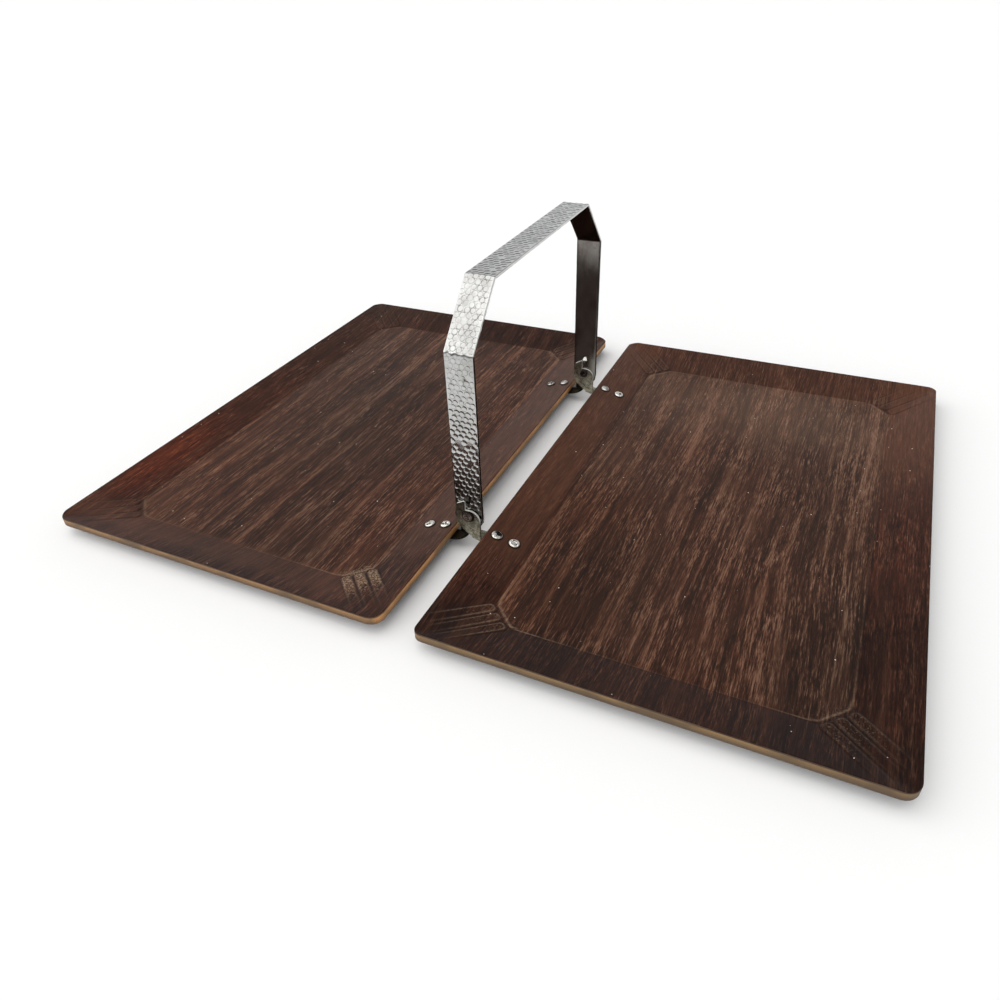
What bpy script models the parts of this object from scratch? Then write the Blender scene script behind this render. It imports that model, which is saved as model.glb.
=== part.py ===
"""Folding serving tray: two moulded-plywood trays on one steel strip handle.

Frame: +X across the two open trays, +Y along each tray, +Z up.  The origin
is under the middle of the gap, at the height of the trays' flat undersides.
Both trays, with their brackets and rivets, are the same assembly turned half
a turn about Z.  Each tray turns on the two pivot rivets of the handle's legs.
"""
import math

import bmesh
import bpy
from mathutils import Matrix, Vector

MM = 0.001

# ---- driving dimensions, millimetres ---------------------------------------
TRAY_L = 340.0          # along Y
TRAY_W = 214.0          # along X
HALF_GAP = 9.25         # from the centre plane to each tray's inner edge
CORNER_R = 7.0          # plan radius of the tray's outer corners
PLY = 4.8               # plywood thickness, square to its face
RIM_W = 26.0            # plan width of the sloped rim
WELL_D = 6.8            # depth of the well's floor below the rim's top edge
WELL_CHAMFER = 13.0     # the well's corners are cut at 45 degrees

STRIP_W = 16.0          # handle strip, along X
STRIP_T = 1.5
LEG_Y = 90.3            # outer face of each leg, from the centre
BEND_Z = 101.9          # lower bend, above the rim's top edge
TOP_Z = 130.6           # top face of the grip, above the rim's top edge
GRIP_HALF = 64.2        # upper bend, from the centre
BEND_R = 3.0            # outer radius of the strip's bends

PIVOT_H = 9.3           # pivot axis above the rim's top edge
PIVOT_R = 1.8           # pivot rivet shank
PIVOT_HEAD_R = 3.3
PLATE_T = 1.2           # bracket steel
FLANGE_W = 8.0
FLANGE_END_X = 28.6
FLANGE_START_X = 1.3
RIVET_X = (15.0, 25.0)  # tray rivets, from the centre plane
RIVET_IN = 3.2          # tray rivets, from the bracket plate's outer face
RIVET_R = 1.5
RIVET_HEAD_R = 3.25

KEY_W = 2.6             # stop key, along X
KEY_Z = (7.15, 12.2)    # above the pivot axis, clear of the brackets' turning lobes
KEY_OUT = 1.9           # how far it stands out of each face of the leg

CLEAR = 0.3             # gap between touching pieces

RIM_Z = PLY + WELL_D                     # the rim's top edge above the base
PIVOT_Z = RIM_Z + PIVOT_H
SLOPE = math.atan2(WELL_D, RIM_W)
TAN = math.tan(SLOPE)
PLY_V = PLY / math.cos(SLOPE)            # rim thickness measured upright
LEG_MID = LEG_Y - STRIP_T / 2.0
TAB_X = KEY_W / 2.0 + CLEAR

# ---- clean scene, collections, materials -----------------------------------
for old in list(bpy.data.objects):
    bpy.data.objects.remove(old, do_unlink=True)

parts = bpy.data.collections.new("folding_serving_tray")
cutters = bpy.data.collections.new("cutters")
bpy.context.scene.collection.children.link(parts)
bpy.context.scene.collection.children.link(cutters)


def material(name, colour, roughness, metallic):
    m = bpy.data.materials.new(name)
    m.use_nodes = True
    s = m.node_tree.nodes["Principled BSDF"]
    s.inputs["Base Color"].default_value = (*colour, 1.0)
    s.inputs["Roughness"].default_value = roughness
    s.inputs["Metallic"].default_value = metallic
    return m


WALNUT = material("walnut_veneer", (0.075, 0.035, 0.021), 0.42, 0.0)
HAMMERED = material("plated_strip", (0.62, 0.62, 0.61), 0.28, 1.0)
BRACKET = material("bracket_steel", (0.42, 0.40, 0.36), 0.45, 1.0)
RIVET = material("rivet_steel", (0.66, 0.65, 0.62), 0.32, 1.0)


# ---- helpers ---------------------------------------------------------------
def v(x, y, z):
    return Vector((x * MM, y * MM, z * MM))


def mesh_object(name, bm, mat=None, collection=None, smooth=None):
    bmesh.ops.recalc_face_normals(bm, faces=bm.faces[:])
    me = bpy.data.meshes.new(name)
    bm.to_mesh(me)
    bm.free()
    ob = bpy.data.objects.new(name, me)
    (collection or parts).objects.link(ob)
    if mat is not None:
        me.materials.append(mat)
    if smooth is not None:
        me.shade_smooth()
        me.set_sharp_from_angle(angle=math.radians(smooth))
    return ob


def outline_mesh(points, thickness):
    """A flat closed outline in XY (mm), given a thickness along Z, as bmesh."""
    cu = bpy.data.curves.new("outline", "CURVE")
    cu.dimensions = "2D"
    cu.fill_mode = "BOTH"
    cu.extrude = thickness * MM / 2.0
    sp = cu.splines.new("POLY")
    sp.points.add(len(points) - 1)
    for p, (x, y) in zip(sp.points, points):
        p.co = (x * MM, y * MM, 0.0, 1.0)
    sp.use_cyclic_u = True
    ob = bpy.data.objects.new("outline", cu)
    bpy.context.scene.collection.objects.link(ob)
    bpy.context.view_layer.update()
    dg = bpy.context.evaluated_depsgraph_get()
    me = bpy.data.meshes.new_from_object(ob.evaluated_get(dg))
    bm = bmesh.new()
    bm.from_mesh(me)
    bmesh.ops.remove_doubles(bm, verts=bm.verts[:], dist=1e-6)
    bpy.data.objects.remove(ob, do_unlink=True)
    bpy.data.curves.remove(cu)
    bpy.data.meshes.remove(me)
    return bm


def arc(cx, cy, r, a0, a1, n):
    """Points of an arc, degrees, both ends kept."""
    return [(cx + r * math.cos(math.radians(a0 + (a1 - a0) * i / n)),
             cy + r * math.sin(math.radians(a0 + (a1 - a0) * i / n))) for i in range(n + 1)]


def fillet(points, radii, n=4, closed=True):
    """Round the corners of a polyline; a radius of 0 keeps the corner."""
    out = []
    count = len(points)
    for i, (p, r) in enumerate(zip(points, radii)):
        if r <= 0 or (not closed and i in (0, count - 1)):
            out.append(p)
            continue
        a = Vector(points[i - 1]) - Vector(p)
        b = Vector(points[(i + 1) % count]) - Vector(p)
        a.normalize()
        b.normalize()
        half = math.acos(max(-1.0, min(1.0, a.dot(b)))) / 2.0
        cut = r / math.tan(half)
        mid = (a + b).normalized() * (r / math.sin(half))
        c = Vector(p) + mid
        s = Vector(p) + a * cut - c
        e = Vector(p) + b * cut - c
        ang = math.atan2(s.x * e.y - s.y * e.x, s.dot(e))
        for k in range(n + 1):
            t = ang * k / n
            q = Vector((s.x * math.cos(t) - s.y * math.sin(t), s.x * math.sin(t) + s.y * math.cos(t)))
            out.append((c.x + q.x, c.y + q.y))
    return out


def boolean(ob, cutter, operation="DIFFERENCE"):
    mod = ob.modifiers.new(cutter.name, "BOOLEAN")
    mod.operation = operation
    mod.solver = "EXACT"
    mod.object = cutter


def as_cutter(ob):
    ob.hide_render = True
    ob.display_type = "WIRE"
    return ob


def cylinder_cutter(name, r1, r2, depth, matrix, segments=20):
    """A cylinder or cone along its own Z, from 0 to depth (mm)."""
    bm = bmesh.new()
    bmesh.ops.create_cone(bm, cap_ends=True, segments=segments, radius1=r1 * MM, radius2=r2 * MM,
                          depth=depth * MM)
    bmesh.ops.translate(bm, verts=bm.verts[:], vec=(0, 0, depth * MM / 2.0))
    ob = as_cutter(mesh_object(name, bm, collection=cutters))
    ob.matrix_world = matrix
    return ob


def turned(name, profile, mat, steps=20):
    """A turned piece: profile (radius, height) in mm, from the top down."""
    me = bpy.data.meshes.new(name)
    me.from_pydata([(r * MM, 0.0, z * MM) for r, z in profile],
                   [(i, i + 1) for i in range(len(profile) - 1)], [])
    me.materials.append(mat)
    ob = bpy.data.objects.new(name, me)
    parts.objects.link(ob)
    sc = ob.modifiers.new("turn", "SCREW")
    sc.axis = "Z"
    sc.steps = steps
    sc.render_steps = steps
    sc.use_merge_vertices = True
    sc.merge_threshold = 0.00001
    sc.use_smooth_shade = True
    return ob


def frozen(ob):
    """The object's evaluated mesh, so that its copies can share it."""
    bpy.context.view_layer.update()
    dg = bpy.context.evaluated_depsgraph_get()
    me = bpy.data.meshes.new_from_object(ob.evaluated_get(dg))
    return me


def place(name, mesh, parent, location, rotation=None):
    ob = bpy.data.objects.new(name, mesh)
    parts.objects.link(ob)
    ob.parent = parent
    ob.location = location
    if rotation is not None:
        ob.rotation_euler = rotation
    return ob


# ---- joints' axes ----------------------------------------------------------
# The handle is the fixed body.  Each tray hangs on an empty on the pivot axis.
def axis_empty(name, turn):
    e = bpy.data.objects.new(name, None)
    parts.objects.link(e)
    e.location = (0.0, 0.0, PIVOT_Z * MM)
    e.rotation_euler = (0.0, 0.0, turn)
    return e


right_axis = axis_empty("right_fold_axis", 0.0)
left_axis = axis_empty("left_fold_axis", math.pi)
SIDES = (("right", right_axis, ("front", "rear")), ("left", left_axis, ("rear", "front")))

# ---- handle strip ----------------------------------------------------------
# The outer face's path in the YZ plane, extruded along X, thickened inwards.
foot_z = PIVOT_Z - STRIP_W / 2.0 - 2.0
corners = [(-LEG_Y, foot_z), (-LEG_Y, RIM_Z + BEND_Z), (-GRIP_HALF, RIM_Z + TOP_Z),
           (GRIP_HALF, RIM_Z + TOP_Z), (LEG_Y, RIM_Z + BEND_Z), (LEG_Y, foot_z)]
path = fillet(corners, [0, BEND_R, BEND_R, BEND_R, BEND_R, 0], n=4, closed=False)
bm = bmesh.new()
row = [bm.verts.new(v(-STRIP_W / 2.0, y, z)) for y, z in path]
edges = [bm.edges.new(pair) for pair in zip(row, row[1:])]
made = bmesh.ops.extrude_edge_only(bm, edges=edges)
bmesh.ops.translate(bm, verts=[g for g in made["geom"] if isinstance(g, bmesh.types.BMVert)],
                    vec=v(STRIP_W, 0, 0))
bmesh.ops.recalc_face_normals(bm, faces=bm.faces[:])
bm.faces.ensure_lookup_table()
top = max(bm.faces, key=lambda f: f.calc_center_median().z)
if top.normal.z < 0:
    bmesh.ops.reverse_faces(bm, faces=bm.faces[:])
me = bpy.data.meshes.new("handle_strip")
bm.to_mesh(me)
bm.free()
me.materials.append(HAMMERED)
handle = bpy.data.objects.new("handle_strip", me)
parts.objects.link(handle)
so = handle.modifiers.new("thickness", "SOLIDIFY")
so.thickness = STRIP_T * MM
so.offset = -1.0
so.use_even_offset = True

# Round feet: everything outside a tall outline with a half-round lower end goes.
half = STRIP_W / 2.0
foot_r = half + 0.06                      # crosses the strip's sides, not along them
foot_line = [(half + 2.0, 200.0), (-half - 2.0, 200.0), (-half - 2.0, PIVOT_Z + 0.5), (-foot_r, PIVOT_Z + 0.5)] \
    + arc(0.0, PIVOT_Z, foot_r, 180, 360, 16) \
    + [(foot_r, PIVOT_Z + 0.5), (half + 2.0, PIVOT_Z + 0.5)]
bm = outline_mesh(foot_line, 2.0 * LEG_Y + 10.0)
bmesh.ops.rotate(bm, verts=bm.verts[:], cent=(0, 0, 0), matrix=Matrix.Rotation(math.radians(90), 3, "X"))
foot_outline = as_cutter(mesh_object("foot_outline", bm, collection=cutters))
boolean(handle, foot_outline, "INTERSECT")

along_y = Matrix.Rotation(math.radians(-90), 4, "X")      # local Z to world +Y
for end, sign in (("front", -1), ("rear", 1)):
    y0 = sign * LEG_MID - 5.0
    hole = cylinder_cutter(end + "_pivot_hole", PIVOT_R + CLEAR, PIVOT_R + CLEAR, 10.0,
                           Matrix.Translation(v(0, y0, PIVOT_Z)) @ along_y)
    boolean(handle, hole)
    bm = bmesh.new()
    bmesh.ops.create_cube(bm, size=1.0, matrix=Matrix.Translation(
        v(0, sign * LEG_MID, PIVOT_Z + sum(KEY_Z) / 2.0)) @ Matrix.Diagonal(
        ((KEY_W + 2 * CLEAR) * MM, 10 * MM, (KEY_Z[1] - KEY_Z[0] + 2 * CLEAR) * MM, 1.0)))
    slot = as_cutter(mesh_object(end + "_key_slot", bm, collection=cutters))
    boolean(handle, slot)

# ---- stop keys -------------------------------------------------------------
# A flat key through each leg.  The brackets' tabs stop on its two sides.
key_line = fillet([(-KEY_W / 2, KEY_Z[0]), (KEY_W / 2, KEY_Z[0]), (KEY_W / 2, KEY_Z[1]), (-KEY_W / 2, KEY_Z[1])],
                  [0.3, 0.3, 1.0, 1.0], n=3)
bm = outline_mesh(key_line, STRIP_T + 2 * KEY_OUT)
bmesh.ops.rotate(bm, verts=bm.verts[:], cent=(0, 0, 0), matrix=Matrix.Rotation(math.radians(90), 3, "X"))
key = mesh_object("front_stop_key", bm, BRACKET)
key.location = v(0, -LEG_MID, PIVOT_Z)
rear_key = bpy.data.objects.new("rear_stop_key", key.data)
parts.objects.link(rear_key)
rear_key.location = v(0, LEG_MID, PIVOT_Z)

# ---- pivot rivets ----------------------------------------------------------
# Head outside, hollow clinched end inside.  Local +Z points out of the head.
grip_out = LEG_Y + CLEAR + PLATE_T + CLEAR - LEG_MID       # head's under face
grip_in = LEG_MID - (LEG_Y - STRIP_T - CLEAR - PLATE_T - CLEAR)
pivot_profile = [(0.0, grip_out + 1.05), (1.5, grip_out + 1.0), (2.8, grip_out + 0.75), (PIVOT_HEAD_R, grip_out + 0.3),
                 (PIVOT_HEAD_R, grip_out), (PIVOT_R, grip_out), (PIVOT_R, -grip_in), (2.55, -grip_in),
                 (2.6, -grip_in - 0.35), (2.1, -grip_in - 0.75), (1.5, -grip_in - 0.7), (1.25, -grip_in + 0.6),
                 (0.0, -grip_in + 0.8)]
pivot = turned("front_pivot_rivet", pivot_profile, RIVET, steps=24)
pivot.location = v(0, -LEG_MID, PIVOT_Z)
pivot.rotation_euler = (math.radians(90), 0, 0)            # local +Z to world -Y
rear_pivot = turned("rear_pivot_rivet", pivot_profile, RIVET, steps=24)
rear_pivot.location = v(0, LEG_MID, PIVOT_Z)
rear_pivot.rotation_euler = (math.radians(-90), 0, 0)      # local +Z to world +Y

# ---- bracket ---------------------------------------------------------------
# Own frame: origin on the pivot axis at the plate's outer face; the plate's
# thickness and the flange run to +Y; X points out along the tray.


def rim_under(x):
    """Height of the rim's underside above the pivot axis, at x from the centre."""
    return -PIVOT_H - PLY_V - (x - HALF_GAP) * TAN


def flange_top(x):
    return rim_under(x) - CLEAR


def flange_low(x):
    return flange_top(x) - PLATE_T / math.cos(SLOPE)


# The plate ends just inside the flange, whose rounded edge finishes the bend.
BEND_IN = 1.12
lobe = arc(1.0, -2.2, 5.7, 96, 0, 8)
plate_line = [(-6.3, 6.8), (-TAB_X, 9.4), (-TAB_X, 3.5)] + lobe[1:] \
    + [(6.7, flange_low(6.7) + BEND_IN), (0.5, flange_low(0.5) + BEND_IN), (-5.0, -8.2), (-6.9, -5.2), (-7.6, 0.2)]
radii = [0.5, 0.4, 0.0] + [0.0] * len(lobe[1:]) + [0.0, 0.0, 1.5, 1.5, 2.0]
bm = outline_mesh(fillet(plate_line, radii, n=3), PLATE_T)
bmesh.ops.rotate(bm, verts=bm.verts[:], cent=(0, 0, 0), matrix=Matrix.Rotation(math.radians(90), 3, "X"))
bmesh.ops.translate(bm, verts=bm.verts[:], vec=v(0, PLATE_T / 2.0, 0))
bracket = mesh_object("bracket_blank", bm, BRACKET)

# The flange lies along the rim's slope: s runs down the slope from the
# point under the pivot axis.
cs = math.cos(SLOPE)
s0, s1 = FLANGE_START_X / cs, FLANGE_END_X / cs
flange_line = [(s0, 0.02), (s1, 0.02), (s1, FLANGE_W), (s0, FLANGE_W)]
bm = outline_mesh(fillet(flange_line, [0.0, 3.0, 3.5, 5.0], n=5), PLATE_T)
bend = [e for e in bm.edges if all(abs(w.co.y - 0.02 * MM) < 1e-6 and w.co.z < 0 for w in e.verts)]
bmesh.ops.bevel(bm, geom=bend, offset=1.0 * MM, offset_type="OFFSET", segments=4, profile=0.5,
                affect="EDGES", clamp_overlap=True)
slope_turn = Matrix.Rotation(SLOPE, 4, "Y")
flange_frame = Matrix.Translation(v(0, 0, (flange_top(0) + flange_low(0)) / 2.0)) @ slope_turn
bmesh.ops.transform(bm, verts=bm.verts[:], matrix=flange_frame)
flange = as_cutter(mesh_object("bracket_flange", bm, BRACKET, collection=cutters))
boolean(bracket, flange, "UNION")

hole = cylinder_cutter("bracket_pivot_hole", PIVOT_R + CLEAR, PIVOT_R + CLEAR, 10.0,
                       Matrix.Translation(v(0, -4.0, 0)) @ along_y)
boolean(bracket, hole)


def rivet_frame(x):
    """Frame square to the rim at a rivet; origin on the rim's top face."""
    return Matrix.Translation(v(x, RIVET_IN, -PIVOT_H - (x - HALF_GAP) * TAN)) @ slope_turn


low = -(PLY + CLEAR + PLATE_T)                             # flange's low face under the rim's top
hole_profile = [(0.0, 2.0), (RIVET_R + CLEAR, 2.0), (RIVET_R + CLEAR, low + 1.0),
                (RIVET_R + CLEAR + 1.3, low - 0.3), (0.0, low - 0.3)]
for i, x in enumerate(RIVET_X):
    # straight through, countersunk in the flange's underside
    hole = turned("bracket_rivet_hole_%d" % (i + 1), hole_profile, BRACKET, steps=16)
    parts.objects.unlink(hole)
    cutters.objects.link(as_cutter(hole))
    hole.matrix_world = rivet_frame(x) @ Matrix.Rotation(math.radians(6), 4, "Z")
    boolean(bracket, hole)

bracket_mesh = frozen(bracket)
bracket_mesh.name = "bracket"
bpy.data.objects.remove(bracket, do_unlink=True)

PLATE_FACE = {"outside": -(LEG_Y + CLEAR + PLATE_T), "inside": LEG_Y - STRIP_T - CLEAR - PLATE_T}

# ---- tray rivet ------------------------------------------------------------
# Countersunk foot flush with the flange, clinched hollow head on the veneer.
rivet_profile = [(0.0, 0.55), (1.0, 0.6), (1.45, 1.15), (2.2, 1.25), (3.0, 0.85), (RIVET_HEAD_R, CLEAR),
                 (RIVET_R, CLEAR), (RIVET_R, low + 1.05), (RIVET_R + 1.0, low + 0.02), (0.0, low + 0.02)]
rivet = turned("rivet_blank", rivet_profile, RIVET, steps=16)
rivet_mesh = frozen(rivet)
rivet_mesh.name = "tray_rivet"
bpy.data.objects.remove(rivet, do_unlink=True)

# ---- tray panel ------------------------------------------------------------
# An open dished surface, lofted from the rectangle of the rim to the octagon
# of the well, thickened downwards and trimmed upright to the tray's outline.


def tray_mesh():
    over = 4.0                                             # trimmed off again
    ox, oy = TRAY_W / 2.0 + over, TRAY_L / 2.0 + over
    ix, iy, c = TRAY_W / 2.0 - RIM_W, TRAY_L / 2.0 - RIM_W, WELL_CHAMFER
    bm = bmesh.new()
    outer = [bm.verts.new(v(x, y, over * TAN)) for x, y in ((-ox, -oy), (ox, -oy), (ox, oy), (-ox, oy))]
    octagon = [(-ix, -iy + c), (-ix + c, -iy), (ix - c, -iy), (ix, -iy + c),
               (ix, iy - c), (ix - c, iy), (-ix + c, iy), (-ix, iy - c)]
    inner = [bm.verts.new(v(x, y, -WELL_D)) for x, y in octagon]
    bm.faces.new(inner)
    for k in range(4):
        a, b = inner[2 * k], inner[2 * k + 1]              # the corner's cut edge
        nxt = inner[(2 * k + 2) % 8]
        bm.faces.new((outer[k], b, a))
        bm.faces.new((outer[k], outer[(k + 1) % 4], nxt, b))
    bmesh.ops.recalc_face_normals(bm, faces=bm.faces[:])
    bm.faces.ensure_lookup_table()
    floor = min(bm.faces, key=lambda f: f.calc_center_median().z)
    if floor.normal.z < 0:
        bmesh.ops.reverse_faces(bm, faces=bm.faces[:])
    me = bpy.data.meshes.new("tray_surface")
    bm.to_mesh(me)
    bm.free()
    me.materials.append(WALNUT)
    ob = bpy.data.objects.new("tray_blank", me)
    parts.objects.link(ob)
    ob.location = v(HALF_GAP + TRAY_W / 2.0, 0.0, -PIVOT_H)
    so = ob.modifiers.new("ply", "SOLIDIFY")
    so.thickness = PLY * MM
    so.offset = -1.0
    so.use_even_offset = True

    hx, hy = TRAY_W / 2.0, TRAY_L / 2.0
    rect = fillet([(-hx, -hy), (hx, -hy), (hx, hy), (-hx, hy)], [CORNER_R] * 4, n=8)
    bm = outline_mesh(rect, 60.0)
    trim = as_cutter(mesh_object("tray_outline", bm, collection=cutters))
    trim.location = v(HALF_GAP + TRAY_W / 2.0, 0.0, -PIVOT_H)
    boolean(ob, trim, "INTERSECT")
    for end, face in (("front", PLATE_FACE["outside"]), ("rear", PLATE_FACE["inside"])):
        for i, x in enumerate(RIVET_X):
            hole = cylinder_cutter("%s_rim_hole_%d" % (end, i + 1), RIVET_R + CLEAR, RIVET_R + CLEAR, 14.0,
                                   Matrix.Translation(v(0, face, 0)) @ rivet_frame(x)
                                   @ Matrix.Translation(v(0, 0, -9.0)), 16)
            boolean(ob, hole)
    me = frozen(ob)
    me.name = "tray_panel"
    me.transform(Matrix.Translation(ob.location))
    bpy.data.objects.remove(ob, do_unlink=True)
    base = min(w.co.z for w in me.vertices)                # the flat underside is the base plane
    for w in me.vertices:
        if w.co.z < base + 0.01 * MM:
            w.co.z = -PIVOT_Z * MM
    return me


panel_mesh = tray_mesh()

# ---- the two tray assemblies -----------------------------------------------
for side, axis, ends in SIDES:
    place(side + "_tray_panel", panel_mesh, axis, (0, 0, 0))
    for end, face in zip(ends, (PLATE_FACE["outside"], PLATE_FACE["inside"])):
        place("%s_%s_bracket" % (side, end), bracket_mesh, axis, v(0, face, 0))
        for i, x in enumerate(RIVET_X):
            spot = Matrix.Translation(v(0, face, 0)) @ rivet_frame(x)
            place("%s_%s_rivet_%d" % (side, end, i + 1), rivet_mesh, axis, spot.translation,
                  spot.to_euler())

bpy.context.view_layer.update()
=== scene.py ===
"""Folding serving tray: looks.

Two moulded walnut-veneer trays on a hammered, plated steel strip handle.
All lengths in the helpers below are millimetres unless they say metres.
"""

import math
import random

import bmesh
import bpy
import numpy as np
from mathutils import Matrix, Vector, noise


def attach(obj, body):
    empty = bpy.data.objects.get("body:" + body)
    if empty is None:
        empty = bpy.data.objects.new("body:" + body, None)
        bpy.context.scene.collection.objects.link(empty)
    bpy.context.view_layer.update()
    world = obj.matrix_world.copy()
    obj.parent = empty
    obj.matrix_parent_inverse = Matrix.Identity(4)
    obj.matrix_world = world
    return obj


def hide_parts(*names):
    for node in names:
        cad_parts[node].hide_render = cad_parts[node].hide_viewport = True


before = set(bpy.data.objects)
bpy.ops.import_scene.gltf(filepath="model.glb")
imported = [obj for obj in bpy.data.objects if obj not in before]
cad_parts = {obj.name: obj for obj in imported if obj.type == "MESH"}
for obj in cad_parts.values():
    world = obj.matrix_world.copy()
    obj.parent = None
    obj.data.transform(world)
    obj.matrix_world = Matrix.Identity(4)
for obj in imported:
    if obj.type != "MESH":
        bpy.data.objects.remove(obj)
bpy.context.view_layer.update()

MM = 0.001

# ---- dimensions, the same as the solids' -----------------------------------
TRAY_L, TRAY_W, HALF_GAP = 340.0, 214.0, 9.25
PLY, RIM_W, WELL_D, CHAMFER = 4.8, 26.0, 6.8, 13.0
STRIP_W, STRIP_T, LEG_Y, BEND_Z, TOP_Z, GRIP_HALF, BEND_R = 16.0, 1.5, 90.3, 101.9, 130.6, 64.2, 3.0
RIM_Z = PLY + WELL_D
PIVOT_Z = RIM_Z + 9.3
LEG_MID = LEG_Y - STRIP_T / 2.0
PLATE_T, CLEAR = 1.2, 0.3
RIVET_X, RIVET_IN = (15.0, 25.0), 3.2
SLOPE = math.atan2(WELL_D, RIM_W)
TAN = math.tan(SLOPE)
RIM_SLOPE = WELL_D / RIM_W
CORNER_SLOPE = WELL_D / (2 * RIM_W + CHAMFER)
FLUTE_SIGN = 1.0                        # -1 pressed in, +1 raised


# ---- node helpers ----------------------------------------------------------
def new_material(name):
    m = bpy.data.materials.new(name)
    m.use_nodes = True
    t = m.node_tree
    return m, t, t.nodes["Principled BSDF"]


def node(t, kind, inputs=None, **props):
    n = t.nodes.new(kind)
    for k, val in props.items():
        setattr(n, k, val)
    for k, val in (inputs or {}).items():
        s = n.inputs[k]
        if isinstance(val, bpy.types.NodeSocket):
            t.links.new(val, s)
        else:
            s.default_value = val
    return n


def math_node(t, op, a, b=0.0, c=None, clamp=False):
    n = node(t, "ShaderNodeMath", {0: a, 1: b}, operation=op, use_clamp=clamp)
    if c is not None:
        if isinstance(c, bpy.types.NodeSocket):
            t.links.new(c, n.inputs[2])
        else:
            n.inputs[2].default_value = c
    return n.outputs[0]


def coords(t, scale, offset=(0.0, 0.0, 0.0), vector=None):
    """Object coordinates, scaled: a scale of 1000 a millimetre apart is 1."""
    if vector is None:
        vector = node(t, "ShaderNodeTexCoord").outputs["Object"]
    return node(t, "ShaderNodeMapping", {"Vector": vector, "Location": offset, "Scale": scale}).outputs[0]


def noise_tex(t, vector, scale=1.0, detail=2.0, rough=0.5, distortion=0.0, out="Fac"):
    n = node(t, "ShaderNodeTexNoise", {"Vector": vector, "Scale": scale, "Detail": detail, "Roughness": rough,
                                       "Distortion": distortion})
    return n.outputs[out]


def ramp(t, fac, stops, interpolation="LINEAR"):
    n = node(t, "ShaderNodeValToRGB", {"Fac": fac})
    r = n.color_ramp
    r.interpolation = interpolation
    while len(r.elements) > 1:
        r.elements.remove(r.elements[-1])
    first = True
    for pos, col in stops:
        if not isinstance(col, (tuple, list)):
            col = (col, col, col)
        if first:
            e = r.elements[0]
            e.position = pos
            first = False
        else:
            e = r.elements.new(pos)
        e.color = (*col, 1.0)
    return n.outputs["Color"]


def mix(t, fac, a, b, blend="MIX"):
    n = node(t, "ShaderNodeMix", data_type="RGBA", blend_type=blend)
    n.clamp_factor = True
    for name, val in (("Factor", fac), ("A", a), ("B", b)):
        s = [q for q in n.inputs if q.name == name and (q.type == "VALUE" if name == "Factor" else q.type == "RGBA")][0]
        if isinstance(val, bpy.types.NodeSocket):
            t.links.new(val, s)
        elif name == "Factor":
            s.default_value = val
        else:
            s.default_value = (*val, 1.0)
    return [q for q in n.outputs if q.type == "RGBA"][0]


def attribute(t, name):
    return node(t, "ShaderNodeAttribute", attribute_name=name).outputs["Fac"]


def bump(t, height, strength, distance, normal=None):
    n = node(t, "ShaderNodeBump", {"Height": height, "Strength": strength, "Distance": distance})
    if normal is not None:
        t.links.new(normal, n.inputs["Normal"])
    return n.outputs["Normal"]


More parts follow.
